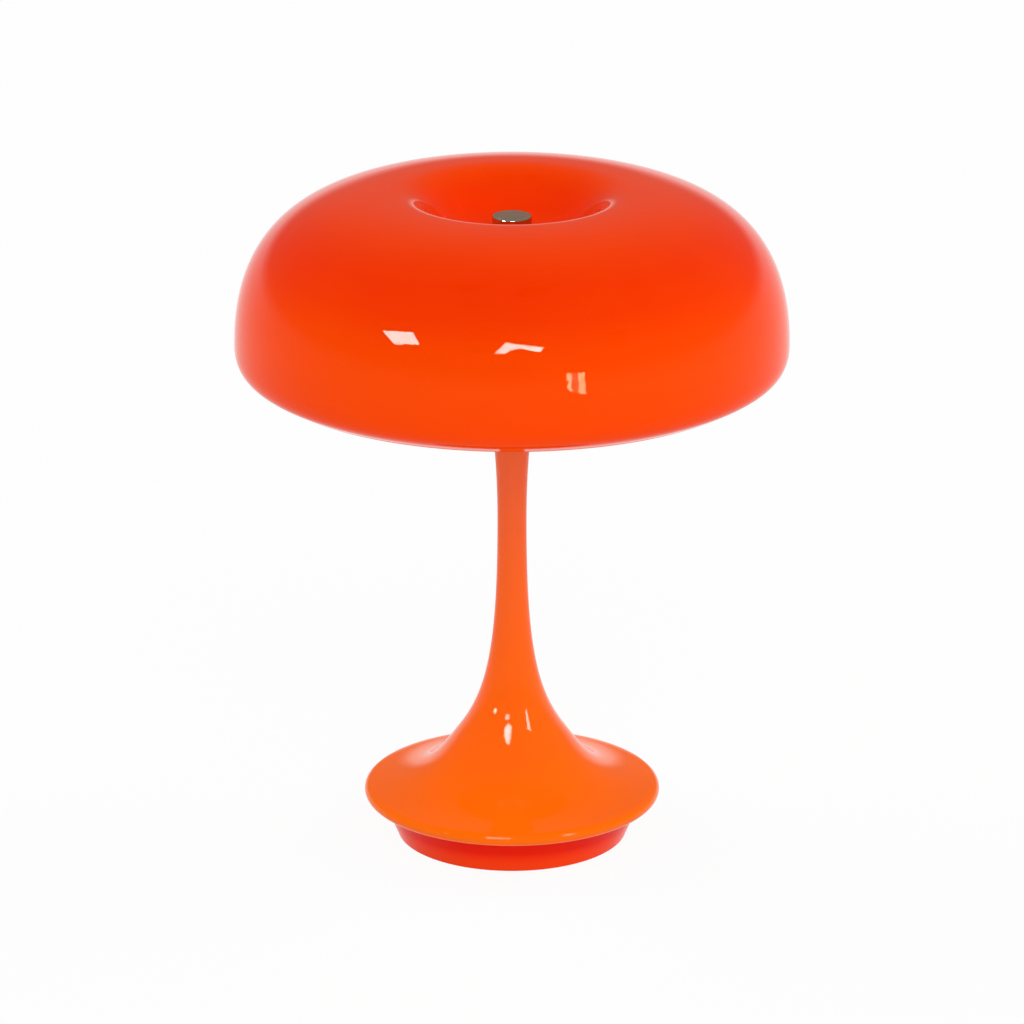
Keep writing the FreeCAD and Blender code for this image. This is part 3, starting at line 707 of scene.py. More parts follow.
def worked(mesh: Mesh, cut: Cut, *tools: Mesh) -> Mesh:
    """Cuts tools out of a mesh, or adds them to it.

    Args:
        mesh: the piece, which is used up.
        cut: whether the tools are cut out or added.
        tools: closed meshes, which are used up.

    Returns:
        The result.
    """
    objects = []
    for name, source in (("work", mesh), ("tool", together(*tools))):
        data = bpy.data.meshes.new(name)
        source.to_mesh(data)
        source.free()
        objects.append(bpy.data.objects.new(name, data))
        bpy.context.scene.collection.objects.link(objects[-1])
    step = objects[0].modifiers.new("cut", "BOOLEAN")
    step.object, step.operation, step.solver = objects[1], cut.value, "EXACT"
    step.use_self = cut is Cut.ADD
    bpy.context.view_layer.update()
    graph = bpy.context.evaluated_depsgraph_get()
    result = bmesh.new()
    done = bpy.data.meshes.new_from_object(objects[0].evaluated_get(graph))
    result.from_mesh(done)
    bpy.data.meshes.remove(done)
    for item in objects:
        data = item.data
        bpy.data.objects.remove(item)
        bpy.data.meshes.remove(data)
    bmesh.ops.remove_doubles(result, verts=result.verts, dist=WELD)
    return result


def shown(mesh: Mesh, name: str, finish: Finish, body: Body, *nodes: str,
          crease: float = 32.0) -> bpy.types.Object:
    """Makes a finished piece of a mesh and puts it on its body.

    Args:
        mesh: the piece in millimetres, which is used up.
        name: the piece's name.
        finish: its surface.
        body: the CAD body that it rides on.
        nodes: the CAD nodes that it stands for.
        crease: edges that turn more than this many degrees stay sharp.

    Returns:
        The piece.
    """
    bmesh.ops.scale(mesh, vec=(MM, MM, MM), verts=mesh.verts)
    data = bpy.data.meshes.new(name)
    mesh.to_mesh(data)
    mesh.free()
    data.shade_smooth()
    data.set_sharp_from_angle(angle=math.radians(crease))
    data.materials.append(finish.material())
    piece = bpy.data.objects.new(name, data)
    bpy.context.scene.collection.objects.link(piece)
    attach(piece, body.value)
    if nodes:
        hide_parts(*nodes)
    LOG.info("%s: %d faces, stands for %s", name, len(data.polygons), ", ".join(nodes) or "-")
    return piece


def dressed(node: str, finish: Finish) -> None:
    """Gives a CAD node that stays its finish.

    Args:
        node: the node's name.
        finish: its surface.
    """
    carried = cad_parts[node]
    carried.data.materials.clear()
    carried.data.materials.append(finish.material())
    LOG.info("%s keeps its CAD mesh in %s", node, finish.name)


# ---------------------------------------------------------------- sub-assemblies


@dataclass
class Shade:
    """The dished and curled-in dome, with its rubber seat."""

    radius: float = 110.0
    bulge: float = 208.0
    wall: float = 2.8
    hole: float = 5.0
    floor_radius: float = 13.0
    floor: float = 250.5
    foot_pull: float = 19.4
    crest_radius: float = 46.5
    crest: float = 269.0
    crest_pull_in: float = 16.5
    crest_pull_out: float = 35.2
    bulge_pull_up: float = 45.7
    bulge_pull_down: float = 9.9
    rim_radius: float = 100.0
    rim: float = 195.2
    rim_pull_out: float = 3.6
    rim_pull_up: float = 2.6
    floor_ring: float = 9.0     # a ring of points on the dimple's floor
    flats: int = 256
    outer_steps: tuple[int, int, int] = (44, 84, 28)    # dimple, dome and curl
    rim_steps: int = 8
    inner_steps: tuple[int, int, int] = (16, 40, 24)    # curl, dome and dimple
    ring_flats: int = 96
    gasket_round: float = 0.3
    gasket_radii: tuple[float, float] = (5.2, 9.0)
    gasket_heights: tuple[float, float] = (246.2, 247.7)

    def outline(self) -> Outline:
        """Draws the dome's section.

        Returns:
            The outer face, the rounded rim, the inner face and the hole's wall, in that order.
        """
        inner, inner_crest = self.radius - self.wall, self.crest - self.wall
        tangent = Vector((self.rim_pull_out, self.rim_pull_up)).normalized()
        across = Vector((-tangent.y, tangent.x)) * self.wall
        shift = self.wall / 2
        run = (inner - self.crest_radius) / (self.radius - self.crest_radius)
        fall = (inner_crest - self.bulge) / (self.crest - self.bulge)
        inner_rim = (self.rim_radius + across.x, self.rim + across.y)
        middle = (self.rim_radius + across.x / 2, self.rim + across.y / 2)
        pulled = (self.rim_radius + self.rim_pull_out, self.rim + self.rim_pull_up)
        shape = Outline(self.hole, self.floor)
        shape.line_to((self.floor_ring, self.floor), (self.floor_radius, self.floor))
        shape.curve_to((self.floor_radius + self.foot_pull, self.floor),
                       (self.crest_radius - self.crest_pull_in, self.crest),
                       (self.crest_radius, self.crest), self.outer_steps[0])
        shape.curve_to((self.crest_radius + self.crest_pull_out, self.crest),
                       (self.radius, self.bulge + self.bulge_pull_up),
                       (self.radius, self.bulge), self.outer_steps[1])
        shape.curve_to((self.radius, self.bulge - self.bulge_pull_down), pulled,
                       (self.rim_radius, self.rim), self.outer_steps[2])
        shape.arc_to(middle, inner_rim, self.rim_steps)
        shape.curve_to((pulled[0] + across.x, pulled[1] + across.y),
                       (inner, self.bulge - self.bulge_pull_down + self.wall),
                       (inner, self.bulge), self.inner_steps[0])
        shape.curve_to((inner, self.bulge + self.bulge_pull_up * fall),
                       (self.crest_radius + self.crest_pull_out * run, inner_crest),
                       (self.crest_radius, inner_crest), self.inner_steps[1])
        shape.curve_to((self.crest_radius - self.crest_pull_in + shift, inner_crest),
                       (self.floor_radius + self.foot_pull + shift, self.floor - self.wall),
                       (self.floor_radius, self.floor - self.wall), self.inner_steps[2])
        return shape.line_to((self.hole, self.floor - self.wall))

    def build(self) -> None:
        """Builds the dome and the ring that it sits on."""
        shown(spun(self.outline(), self.flats, closed=True), "shade_dome", SHADE_ACRYLIC,
              Body.SHADE, "shade")
        ring = collar(self.gasket_radii, self.gasket_heights, self.ring_flats, self.gasket_round)
        shown(ring, "seat_gasket", SILICONE, Body.STAND, "shade_gasket")


@dataclass
class Knob:
    """The turned knob in the dimple, and the washer under it."""

    radius: float = 7.8
    low: float = 251.5
    top: float = 259.9
    top_round: float = 0.5
    foot_chamfer: float = 0.6
    bore: float = 3.05
    bore_top: float = 258.5
    bore_end: float = 0.4       # chamfer at the blind end
    bore_lead: float = 0.3      # chamfer at the mouth
    face_rings: tuple[float, ...] = (6.6, 5.2, 3.8, 2.4, 1.0)
    ring_half: float = 0.12
    ring_depth: float = 0.08
    flats: int = 128
    washer_radii: tuple[float, float] = (3.3, 7.2)
    washer_low: float = 250.5
    washer_round: float = 0.2
    washer_flats: int = 96

    def build(self) -> None:
        """Builds the knob with its blind bore, and the washer."""
        side = self.top - self.top_round
        shape = Outline(0.0, self.bore_top).line_to(
            (self.bore - self.bore_end, self.bore_top),
            (self.bore, self.bore_top - self.bore_end),
            (self.bore, self.low + self.bore_lead), (self.bore + self.bore_lead, self.low),
            (self.radius - self.foot_chamfer, self.low),
            (self.radius, self.low + self.foot_chamfer), (self.radius, side))
        shape.arc_to((self.radius - self.top_round, side),
                     (self.radius - self.top_round, self.top), 6)
        for reach in self.face_rings:
            shape.line_to((reach + self.ring_half, self.top), (reach, self.top - self.ring_depth),
                          (reach - self.ring_half, self.top))
        shape.line_to((0.0, self.top))
        shown(spun(shape, self.flats), "knob_cap", KNOB_METAL, Body.KNOB, "finial_knob")
        ring = collar(self.washer_radii, (self.washer_low, self.low), self.washer_flats,
                      self.washer_round)
        shown(ring, "knob_seat_washer", WHITE_NYLON, Body.WASHER, "knob_washer")


@dataclass
class Stand:
    """The stem, trumpet and flange in one lacquered casting."""

    top_radius: float = 12.5
    top: float = 196.0
    lean: float = 4.5
    top_pull: float = 16.0
    neck_radius: float = 5.87
    neck: float = 133.6
    neck_pull_up: float = 24.4
    neck_pull_down: float = 53.4
    shoulder_radius: float = 21.4
    shoulder: float = 44.6
    slope: float = 1.38
    pull_up: float = 11.35
    pull_down: float = 9.5
    flange_radius: float = 59.8
    flange_bulge: float = 2.05
    flange_top: float = 21.0
    flange_foot: float = 15.9
    flange_pull: float = 23.0
    flange_slope: float = 0.12
    wall: float = 2.4
    spigot_radii: tuple[float, float, float] = (50.4, 49.1, 47.1)
    spigot_depth: float = 3.0
    bore: float = 4.3
    pocket_radius: float = 9.2
    ledge: float = 62.0
    pocket_pull: float = 7.0
    column_circle: float = 40.0
    column_radius: float = 3.6
    column_bore: float = 1.5
    column_foot: float = 5.0
    column_root: float = 1.0    # how far a column runs into the flange
    column_bore_top: float = 15.2
    flats: int = 176
    outer_steps: tuple[int, int, int] = (22, 32, 28)    # stem, trumpet and flange
    edge_steps: int = 12
    inner_steps: tuple[int, int] = (14, 10)             # under the flange, and the pocket

    def outline(self) -> Outline:
        """Draws the casting's section.

        Returns:
            The outside from the top of the stem down, the spigot, and the inside back up.
        """
        edge = self.flange_radius - self.flange_bulge
        steep = math.hypot(self.slope, 1.0)
        inner = Vector((self.shoulder_radius - self.wall * self.slope / steep,
                        self.shoulder - self.wall / steep))
        spigot, tip, hollow = self.spigot_radii
        ceiling = self.flange_top - self.wall + (edge - hollow) * self.flange_slope
        pull = self.flange_pull * (hollow - self.shoulder_radius) / (edge - self.shoulder_radius)
        half = (self.flange_top - self.flange_foot) / 2
        edge_round = (half ** 2 + self.flange_bulge ** 2) / (2 * self.flange_bulge)
        shape = Outline(self.top_radius, self.top)
        shape.curve_to((self.top_radius - self.lean, self.top - self.top_pull),
                       (self.neck_radius, self.neck + self.neck_pull_up),
                       (self.neck_radius, self.neck), self.outer_steps[0])
        shape.curve_to((self.neck_radius, self.neck - self.neck_pull_down),
                       (self.shoulder_radius - self.pull_up,
                        self.shoulder + self.pull_up * self.slope),
                       (self.shoulder_radius, self.shoulder), self.outer_steps[1])
        shape.curve_to((self.shoulder_radius + self.pull_down,
                        self.shoulder - self.pull_down * self.slope),
                       (edge - self.flange_pull,
                        self.flange_top + self.flange_pull * self.flange_slope),
                       (edge, self.flange_top), self.outer_steps[2])
        shape.arc_to((self.flange_radius - edge_round, self.flange_top - half),
                     (edge, self.flange_foot), self.edge_steps)
        shape.line_to((spigot, self.flange_foot), (tip, self.flange_foot - self.spigot_depth),
                      (hollow, self.flange_foot - self.spigot_depth), (hollow, ceiling))
        shape.curve_to((hollow - pull, ceiling + pull * self.flange_slope),
                       (inner.x + self.pull_down, inner.y - self.pull_down * self.slope),
                       tuple(inner), self.inner_steps[0])
        shape.curve_to(((inner.x + self.pocket_radius) / 2,
                        inner.y + (inner.x - self.pocket_radius) / 2 * self.slope),
                       (self.pocket_radius, self.ledge - self.pocket_pull),
                       (self.pocket_radius, self.ledge), self.inner_steps[1])
        return shape.line_to((self.bore, self.ledge), (self.bore, self.top))

    def build(self) -> None:
        """Builds the casting and its four screw columns."""
        casting = spun(self.outline(), self.flats, closed=True)
        places = square_on(self.column_circle)
        columns = [rod(self.column_radius, self.column_foot, self.flange_top + self.column_root,
                       x, y) for x, y in places]
        bores = [rod(self.column_bore, self.column_foot - CLEAR_OF, self.column_bore_top, x, y)
                 for x, y in places]
        casting = worked(worked(casting, Cut.ADD, *columns), Cut.TAKE_AWAY, *bores)
        shown(casting, "trumpet_casting", STAND_LACQUER, Body.STAND, "trumpet_stand")


@dataclass
class Base:
    """The sloping drum under the flange, its foot ring and its charging socket."""

    foot: float = 0.25
    top: float = 15.9
    foot_radius: float = 46.58
    top_radius: float = 53.0
    edge_round: float = 0.8
    wall: float = 2.4
    floor: float = 3.0
    ring_radii: tuple[float, float] = (31.0, 43.5)
    ring_top: float = 1.6
    ring_gap: float = 0.15
    screw_circle: float = 40.0
    pad_radius: float = 5.0
    pad_top: float = 5.0
    head_hole: tuple[float, float] = (3.05, 3.6)
    screw_hole: float = 1.7
    post_radius: float = 2.4
    post_top: float = 7.0
    post_half: float = 11.0
    post_rows: tuple[float, float] = (27.23, 40.23)
    socket_axis: float = 10.23
    socket_size: tuple[float, float, float] = (8.94, 3.26, 7.35)
    socket_wall: float = 0.3
    socket_back: float = 49.397
    slot_gap: float = 0.25
    cut_from: float = 43.73
    cut_reach: float = 20.0
    tool_foot: float = 0.5      # how far pads and posts run into the floor
    flats: int = 160
    grip_grooves: tuple[float, ...] = (34.0, 36.4, 38.8, 41.2)
    grip_half: tuple[float, float] = (0.5, 0.3)     # half widths at its mouth and its bottom
    grip_depth: float = 0.35
    grip_round: float = 0.15
    grip_flats: int = 144
    socket_pocket: float = 6.0
    tongue: tuple[float, float, float] = (6.7, 5.0, 0.7)
    tongue_round: float = 0.12
    contact: tuple[float, float, float] = (0.26, 3.2, 0.06)
    contact_pitch: float = 0.5
    contact_middle: float = 2.9     # from the tongue's root
    contact_lift: float = 0.37      # above and below the tongue's middle
    contact_places: int = 5         # on either side of the middle
    lens_offset: float = 9.5
    lens_radius: float = 1.2
    lens_gap: float = 0.05

    def drum(self) -> Mesh:
        """Makes the drum.

        Returns:
            A cup with pads, posts, screw holes, the socket's slot and the indicator's hole.
        """
        slope = (self.top_radius - self.foot_radius) / (self.top - self.foot - self.edge_round)
        wall_foot = self.foot_radius + slope * (self.floor - self.foot - self.edge_round)
        inner_ring, outer_ring = self.ring_radii
        shape = Outline(0.0, self.foot).line_to(
            (inner_ring, self.foot), (inner_ring, self.ring_top), (outer_ring, self.ring_top),
            (outer_ring, self.foot), (self.foot_radius - self.edge_round, self.foot))
        shape.arc_to((self.foot_radius - self.edge_round, self.foot + self.edge_round),
                     (self.foot_radius, self.foot + self.edge_round), 6)
        shape.line_to((self.top_radius, self.top), (self.top_radius - self.wall, self.top),
                      (wall_foot - self.wall, self.floor), (0.0, self.floor))
        cup = spun(shape, self.flats)
        screws = square_on(self.screw_circle)
        posts = [(x * self.post_half, y) for x in (-1, 1) for y in self.post_rows]
        root = self.floor - self.tool_foot
        added = [rod(self.pad_radius, root, self.pad_top, x, y) for x, y in screws]
        added += [rod(self.post_radius, root, self.post_top, x, y, HOLE_SIDES) for x, y in posts]
        head, seat = self.head_hole
        width, height, _ = self.socket_size
        slot = slot_bar(width + 2 * self.slot_gap, height + 2 * self.slot_gap, self.cut_reach,
                        (0.0, self.cut_from + self.cut_reach / 2, self.socket_axis))
        lens_hole = level_rod(self.lens_radius + self.lens_gap, self.cut_reach, "X",
                              (self.lens_offset, self.cut_from, self.socket_axis))
        taken = [rod(head, 0.0, seat, x, y, HEAD_SIDES) for x, y in screws]
        taken += [rod(self.screw_hole, 0.0, self.pad_top + CLEAR_OF, x, y, HOLE_SIDES)
                  for x, y in screws]
        cup = worked(cup, Cut.ADD, *added)
        return worked(cup, Cut.TAKE_AWAY, *taken, slot, lens_hole)

    def foot_ring(self) -> Mesh:
        """Makes the silicone ring.

        Returns:
            The ring with its grip grooves.
        """
        inner, outer = self.ring_radii[0] + self.ring_gap, self.ring_radii[1] - self.ring_gap
        mouth, bottom = self.grip_half
        shape = Outline(inner, 0.0)
        for groove in self.grip_grooves:
            shape.line_to((groove - mouth, 0.0), (groove - bottom, self.grip_depth),
                          (groove + bottom, self.grip_depth), (groove + mouth, 0.0))
        shape.line_to((outer, 0.0), (outer, self.ring_top), (inner, self.ring_top))
        return eased(spun(shape, self.grip_flats, closed=True), self.grip_round, 2)

    def socket(self) -> Mesh:
        """Makes the charging socket's drawn shell.

        Returns:
            The shell, open at the back of the lamp.
        """
        width, height, depth = self.socket_size
        centre = (0.0, self.socket_back - depth / 2, self.socket_axis)
        shell = slot_bar(width, height, depth, centre)
        mouth = [face for face in shell.faces if face.normal.y > 0.9]
        bmesh.ops.inset_region(shell, faces=mouth, thickness=self.socket_wall,
                               use_even_offset=True)
        walls = bmesh.ops.extrude_face_region(shell, geom=mouth)["geom"]
        moved = [item for item in walls if isinstance(item, bmesh.types.BMVert)]
        bmesh.ops.delete(shell, geom=mouth, context="FACES")
        bmesh.ops.translate(shell, verts=moved, vec=(0.0, -self.socket_pocket, 0.0))
        bmesh.ops.recalc_face_normals(shell, faces=shell.faces)
        return shell

    def build(self) -> None:
        """Builds the drum and what shows from outside it."""
        shown(self.drum(), "drum_cup", DRUM_ABS, Body.STAND, "base_drum")
        shown(self.foot_ring(), "foot_grip_ring", SILICONE, Body.STAND, "foot_ring")
        shown(self.socket(), "socket_shell", SOCKET_STEEL, Body.STAND, "charge_socket")
        width, length, height = self.tongue
        root = self.socket_back - self.socket_pocket
        blade = bar((width, length, height), (0.0, root + length / 2, self.socket_axis))
        shown(eased(blade, self.tongue_round), "socket_blade", BLACK_NYLON, Body.STAND)
        places = [place * self.contact_pitch
                  for place in range(-self.contact_places, self.contact_places + 1) if place]
        contacts = [bar(self.contact, (across, root + self.contact_middle,
                                       self.socket_axis + side * self.contact_lift))
                    for across in places for side in (-1, 1)]
        shown(together(*contacts), "socket_contacts", BRASS, Body.STAND)


@dataclass
class LightHead:
    """The dish, diffuser and riser that the shade hides."""

    sink_foot: float = 196.0
    sink_top: float = 206.0
    hub_radius: float = 12.5
    sink_radius: float = 31.0
    hole: float = 4.05
    hub_height: float = 2.0
    rise: float = 6.0
    groove_shares: tuple[float, ...] = (0.25, 0.42, 0.59, 0.76)     # along the dish's slope
    groove_width: float = 0.05      # share of the slope
    groove_depth: float = 0.5
    groove_lean: float = 0.1
    sink_round: float = 0.25
    diffuser_radius: float = 30.0
    diffuser_top: float = 236.0
    diffuser_wall: float = 1.6
    diffuser_round: float = 12.0
    round_steps: tuple[int, int] = (14, 12)     # outside and in
    neck: float = 9.3
    riser_radius: float = 9.0
    riser_bore: float = 7.5
    riser_floor: float = 2.0
    riser_top: float = 243.2
    riser_round: float = 0.2
    lead_hole: tuple[float, float, float] = (1.3, 12.0, 217.0)      # radius, reach, height
    plug_gap: float = 0.1
    plug_round: float = 0.3
    cap_top: float = 246.2
    cap_foot: float = 238.2
    stud_hole: float = 3.05
    bush_radius: float = 4.8
    bush_top: float = 250.2
    stud_radius: float = 3.0
    stud_low: float = 232.4
    stud_top: float = 257.5
    pitch: float = 1.0
    thread_depth: float = 0.55
    thread_crest: tuple[float, float] = (0.44, 0.56)    # shares of the pitch
    thread_steps: int = 40
    large_flats: int = 144
    small_flats: int = 96
    sleeve_flats: int = 72

    def dish(self) -> Mesh:
        """Makes the dish that cools the chips.

        Returns:
            The spun dish with its cooling grooves.
        """
        shape = Outline(self.hole, self.sink_foot).line_to(
            (self.hub_radius, self.sink_foot), (self.hub_radius, self.sink_foot + self.hub_height))
        start = Vector((self.hub_radius, self.sink_foot + self.hub_height))
        end = Vector((self.sink_radius, start.y + self.rise))
        into = Vector((-self.groove_lean, self.groove_depth))
        for share in self.groove_shares:
            on, off = start.lerp(end, share), start.lerp(end, share + self.groove_width)
            shape.line_to(tuple(on), tuple(on + into), tuple(off + into), tuple(off))
        shape.line_to(tuple(end), (self.sink_radius, self.sink_top), (self.hole, self.sink_top))
        return eased(spun(shape, self.large_flats, closed=True), self.sink_round, 2)

    def diffuser(self) -> Mesh:
        """Makes the diffuser.

        Returns:
            The opal cap.
        """
        corner, wall, top = self.diffuser_round, self.diffuser_wall, self.diffuser_top
        outer, inner = self.diffuser_radius, self.diffuser_radius - self.diffuser_wall
        shape = Outline(outer, self.sink_top).line_to((outer, top - corner))
        middle, (outside, inside) = (outer - corner, top - corner), self.round_steps
        shape.arc_to(middle, (outer - corner, top), outside)
        shape.line_to((self.neck, top), (self.neck, top - wall), (outer - corner, top - wall))
        shape.arc_to(middle, (inner, top - corner), inside)
        return spun(shape.line_to((inner, self.sink_top)), self.large_flats, closed=True)

    def thread(self) -> Mesh:
        """Makes the stud with a real thread, from turns that run past both ends.

        Returns:
            The stud, cut square at both ends.
        """
        count = int(self.stud_top - self.stud_low) + 2
        root = self.stud_radius - self.thread_depth
        shape = Outline(root, self.stud_low - self.pitch)
        for turn in range(count):
            low = self.stud_low + (turn - 1) * self.pitch
            on, off = (low + share * self.pitch for share in self.thread_crest)
            shape.line_to((self.stud_radius, on), (self.stud_radius, off),
                          (root, low + self.pitch))
        stud = spun(shape, self.thread_steps, rise=self.pitch)
        for level, up in ((self.stud_low, -1), (self.stud_top, 1)):
            cut = bmesh.ops.bisect_plane(
                stud, geom=list(stud.verts) + list(stud.edges) + list(stud.faces),
                plane_co=(0, 0, level), plane_no=(0, 0, up), clear_outer=True)["geom_cut"]
            rim = [item for item in cut if isinstance(item, bmesh.types.BMEdge)]
            bmesh.ops.triangle_fill(stud, use_beauty=True, edges=rim)
        bmesh.ops.holes_fill(stud, edges=stud.edges, sides=6)
        bmesh.ops.recalc_face_normals(stud, faces=stud.faces)
        return stud

    def build(self) -> None:
        """Builds the head from the dish up."""
        shown(self.dish(), "sink_dish", POWDER_COAT, Body.STAND, "head_sink")
        shown(self.diffuser(), "opal_cap", OPAL, Body.STAND, "diffuser")
        tube = Outline(self.hole, self.sink_top).line_to(
            (self.riser_radius, self.sink_top), (self.riser_radius, self.riser_top),
            (self.riser_bore, self.riser_top), (self.riser_bore, self.sink_top + self.riser_floor),
            (self.hole, self.sink_top + self.riser_floor))
        tube = eased(spun(tube, self.small_flats, closed=True), self.riser_round, 2)
        radius, reach, height = self.lead_hole
        lead_hole = level_rod(radius, reach, "Y", (0.0, 0.0, height))
        shown(worked(tube, Cut.TAKE_AWAY, lead_hole), "riser_tube", POWDER_COAT, Body.STAND,
              "riser")
        plug = self.riser_bore - self.plug_gap
        cap = Outline(self.stud_hole, self.cap_foot).line_to(
            (plug, self.cap_foot), (plug, self.riser_top), (self.riser_radius, self.riser_top),
            (self.riser_radius, self.cap_top), (self.stud_hole, self.cap_top))
        shown(eased(spun(cap, self.small_flats, closed=True), self.plug_round, 2), "riser_plug",
              WHITE_NYLON, Body.STAND, "riser_cap")
        bush = collar((self.stud_hole, self.bush_radius), (self.cap_top, self.bush_top),
                      self.sleeve_flats, self.plug_round)
        shown(bush, "stud_sleeve", WHITE_NYLON, Body.STAND, "stud_bush")
        shown(self.thread(), "threaded_stud", SCREW_STEEL, Body.STAND, "shade_stud", crease=25.0)


@dataclass
class Inside:
    """What is sealed in the stand and the head, which keeps its CAD meshes."""

    finishes: dict[str, Finish] = field(default_factory=lambda: {
        "base_screws": SCREW_STEEL, "ballast_plate": ZINC_PLATE, "battery_tray": BLACK_NYLON,
        "battery_cells": SHRINK_SLEEVE, "cell_tabs": NICKEL_STRIP, "charge_board": GREEN_MASK,
        "board_components": BLACK_NYLON, "board_screws": SCREW_STEEL, "indicator_lens": CLEAR,
        "tie_tube": ZINC_PLATE, "lower_washer": ZINC_PLATE, "lower_nut": ZINC_PLATE,
        "upper_nut": ZINC_PLATE, "power_lead": LEAD_JACKET, "touch_lead": LEAD_JACKET,
        "led_board": WHITE_MASK, "led_chips": PHOSPHOR, "led_board_screws": SCREW_STEEL,
        "stud_nut": BRASS, "touch_terminal": BRASS})

    def build(self) -> None:
        """Dresses each node."""
        for node, finish in self.finishes.items():
            dressed(node, finish)


# ---------------------------------------------------------------- studio


@dataclass(frozen=True)
class Card:
    """A bright window that shows only as a glint in one piece.

    Its corners are directions in degrees (azimuth, elevation) from a point in millimetres.
    """

    name: str
    pieces: tuple[str, ...]
    seen_from: tuple[float, float, float]
    strength: float
    corners: tuple[tuple[float, float], ...]
    colour: str = "#FFFFFF"
    distance: float = 9000.0


SHADE_LEFT, SHADE_FRONT = (-42.0, -95.0, 239.0), (1.0, -105.0, 237.0)
SHADE_RIGHT, FLARE, FLANGE = (25.0, -106.0, 225.0), (-1.0, -17.0, 52.0), (0.0, -34.0, 29.0)
UPPER, SHADE_ONLY, CASTING = ("shade_dome", "knob_cap"), ("shade_dome",), ("trumpet_casting",)
DAYLIGHT, LAMPLIGHT = "#B2D7F7", "#FFF3DC"
CARDS = (
    Card("glint_left", UPPER, SHADE_LEFT, 188.0,
         ((-61.7, 29.5), (-47.8, 34.4), (-41.3, 25.9), (-52.6, 22.2)), DAYLIGHT),
    Card("glint_front", UPPER, SHADE_FRONT, 194.0,
         ((-7.6, 25.0), (-2.9, 34.4), (4.8, 32.2), (9.2, 31.0), (14.6, 29.6), (11.6, 25.4),
          (8.4, 27.4), (3.6, 29.4), (-0.9, 27.4), (-2.6, 25.0)), DAYLIGHT),
    Card("glint_right_a", SHADE_ONLY, SHADE_RIGHT, 84.0,
         ((21.8, 9.6), (24.2, 9.5), (24.0, -2.2), (22.6, -1.3), (21.6, 0.5), (22.7, 3.1),
          (21.6, 5.9)), LAMPLIGHT, 900.0),
    Card("glint_right_b", SHADE_ONLY, SHADE_RIGHT, 12.0,
         ((24.4, 9.5), (26.9, 9.4), (26.8, -3.1), (24.1, -2.2)), LAMPLIGHT, 900.0),
    Card("glint_right_c", SHADE_ONLY, SHADE_RIGHT, 76.0,
         ((27.0, 9.4), (29.8, 9.2), (29.9, -4.1), (26.9, -3.2)), LAMPLIGHT, 900.0),
    Card("flare_left", CASTING, FLARE, 100.0,
         ((-59.0, 22.0), (-57.2, 18.8), (-50.9, 19.3), (-51.8, 22.8))),
    Card("flare_front_high", CASTING, FLARE, 70.0,
         ((-20.5, 26.2), (-8.4, 26.8), (-8.2, 31.4), (-21.0, 30.8)), DAYLIGHT),
    Card("flare_front_low", CASTING, FLARE, 112.0,
         ((-21.8, 36.2), (-10.0, 34.0), (-1.4, 36.2), (-2.8, 43.5), (-6.7, 48.7),
          (-16.0, 48.3), (-22.0, 42.1)), DAYLIGHT),
    Card("flare_right", CASTING, FLARE, 78.0,
         ((43.6, 22.7), (48.4, 21.2), (54.2, 33.0), (53.0, 35.4), (42.8, 35.8)), DAYLIGHT),
    Card("flange_left", CASTING, FLANGE, 6.0,
         ((-82.6, 74.4), (-55.0, 78.7), (-101.7, 82.2), (-111.0, 76.2))),
    Card("flange_right", CASTING, FLANGE, 6.0,
         ((9.3, 80.8), (52.6, 78.1), (101.9, 81.6), (88.9, 88.2))),
)


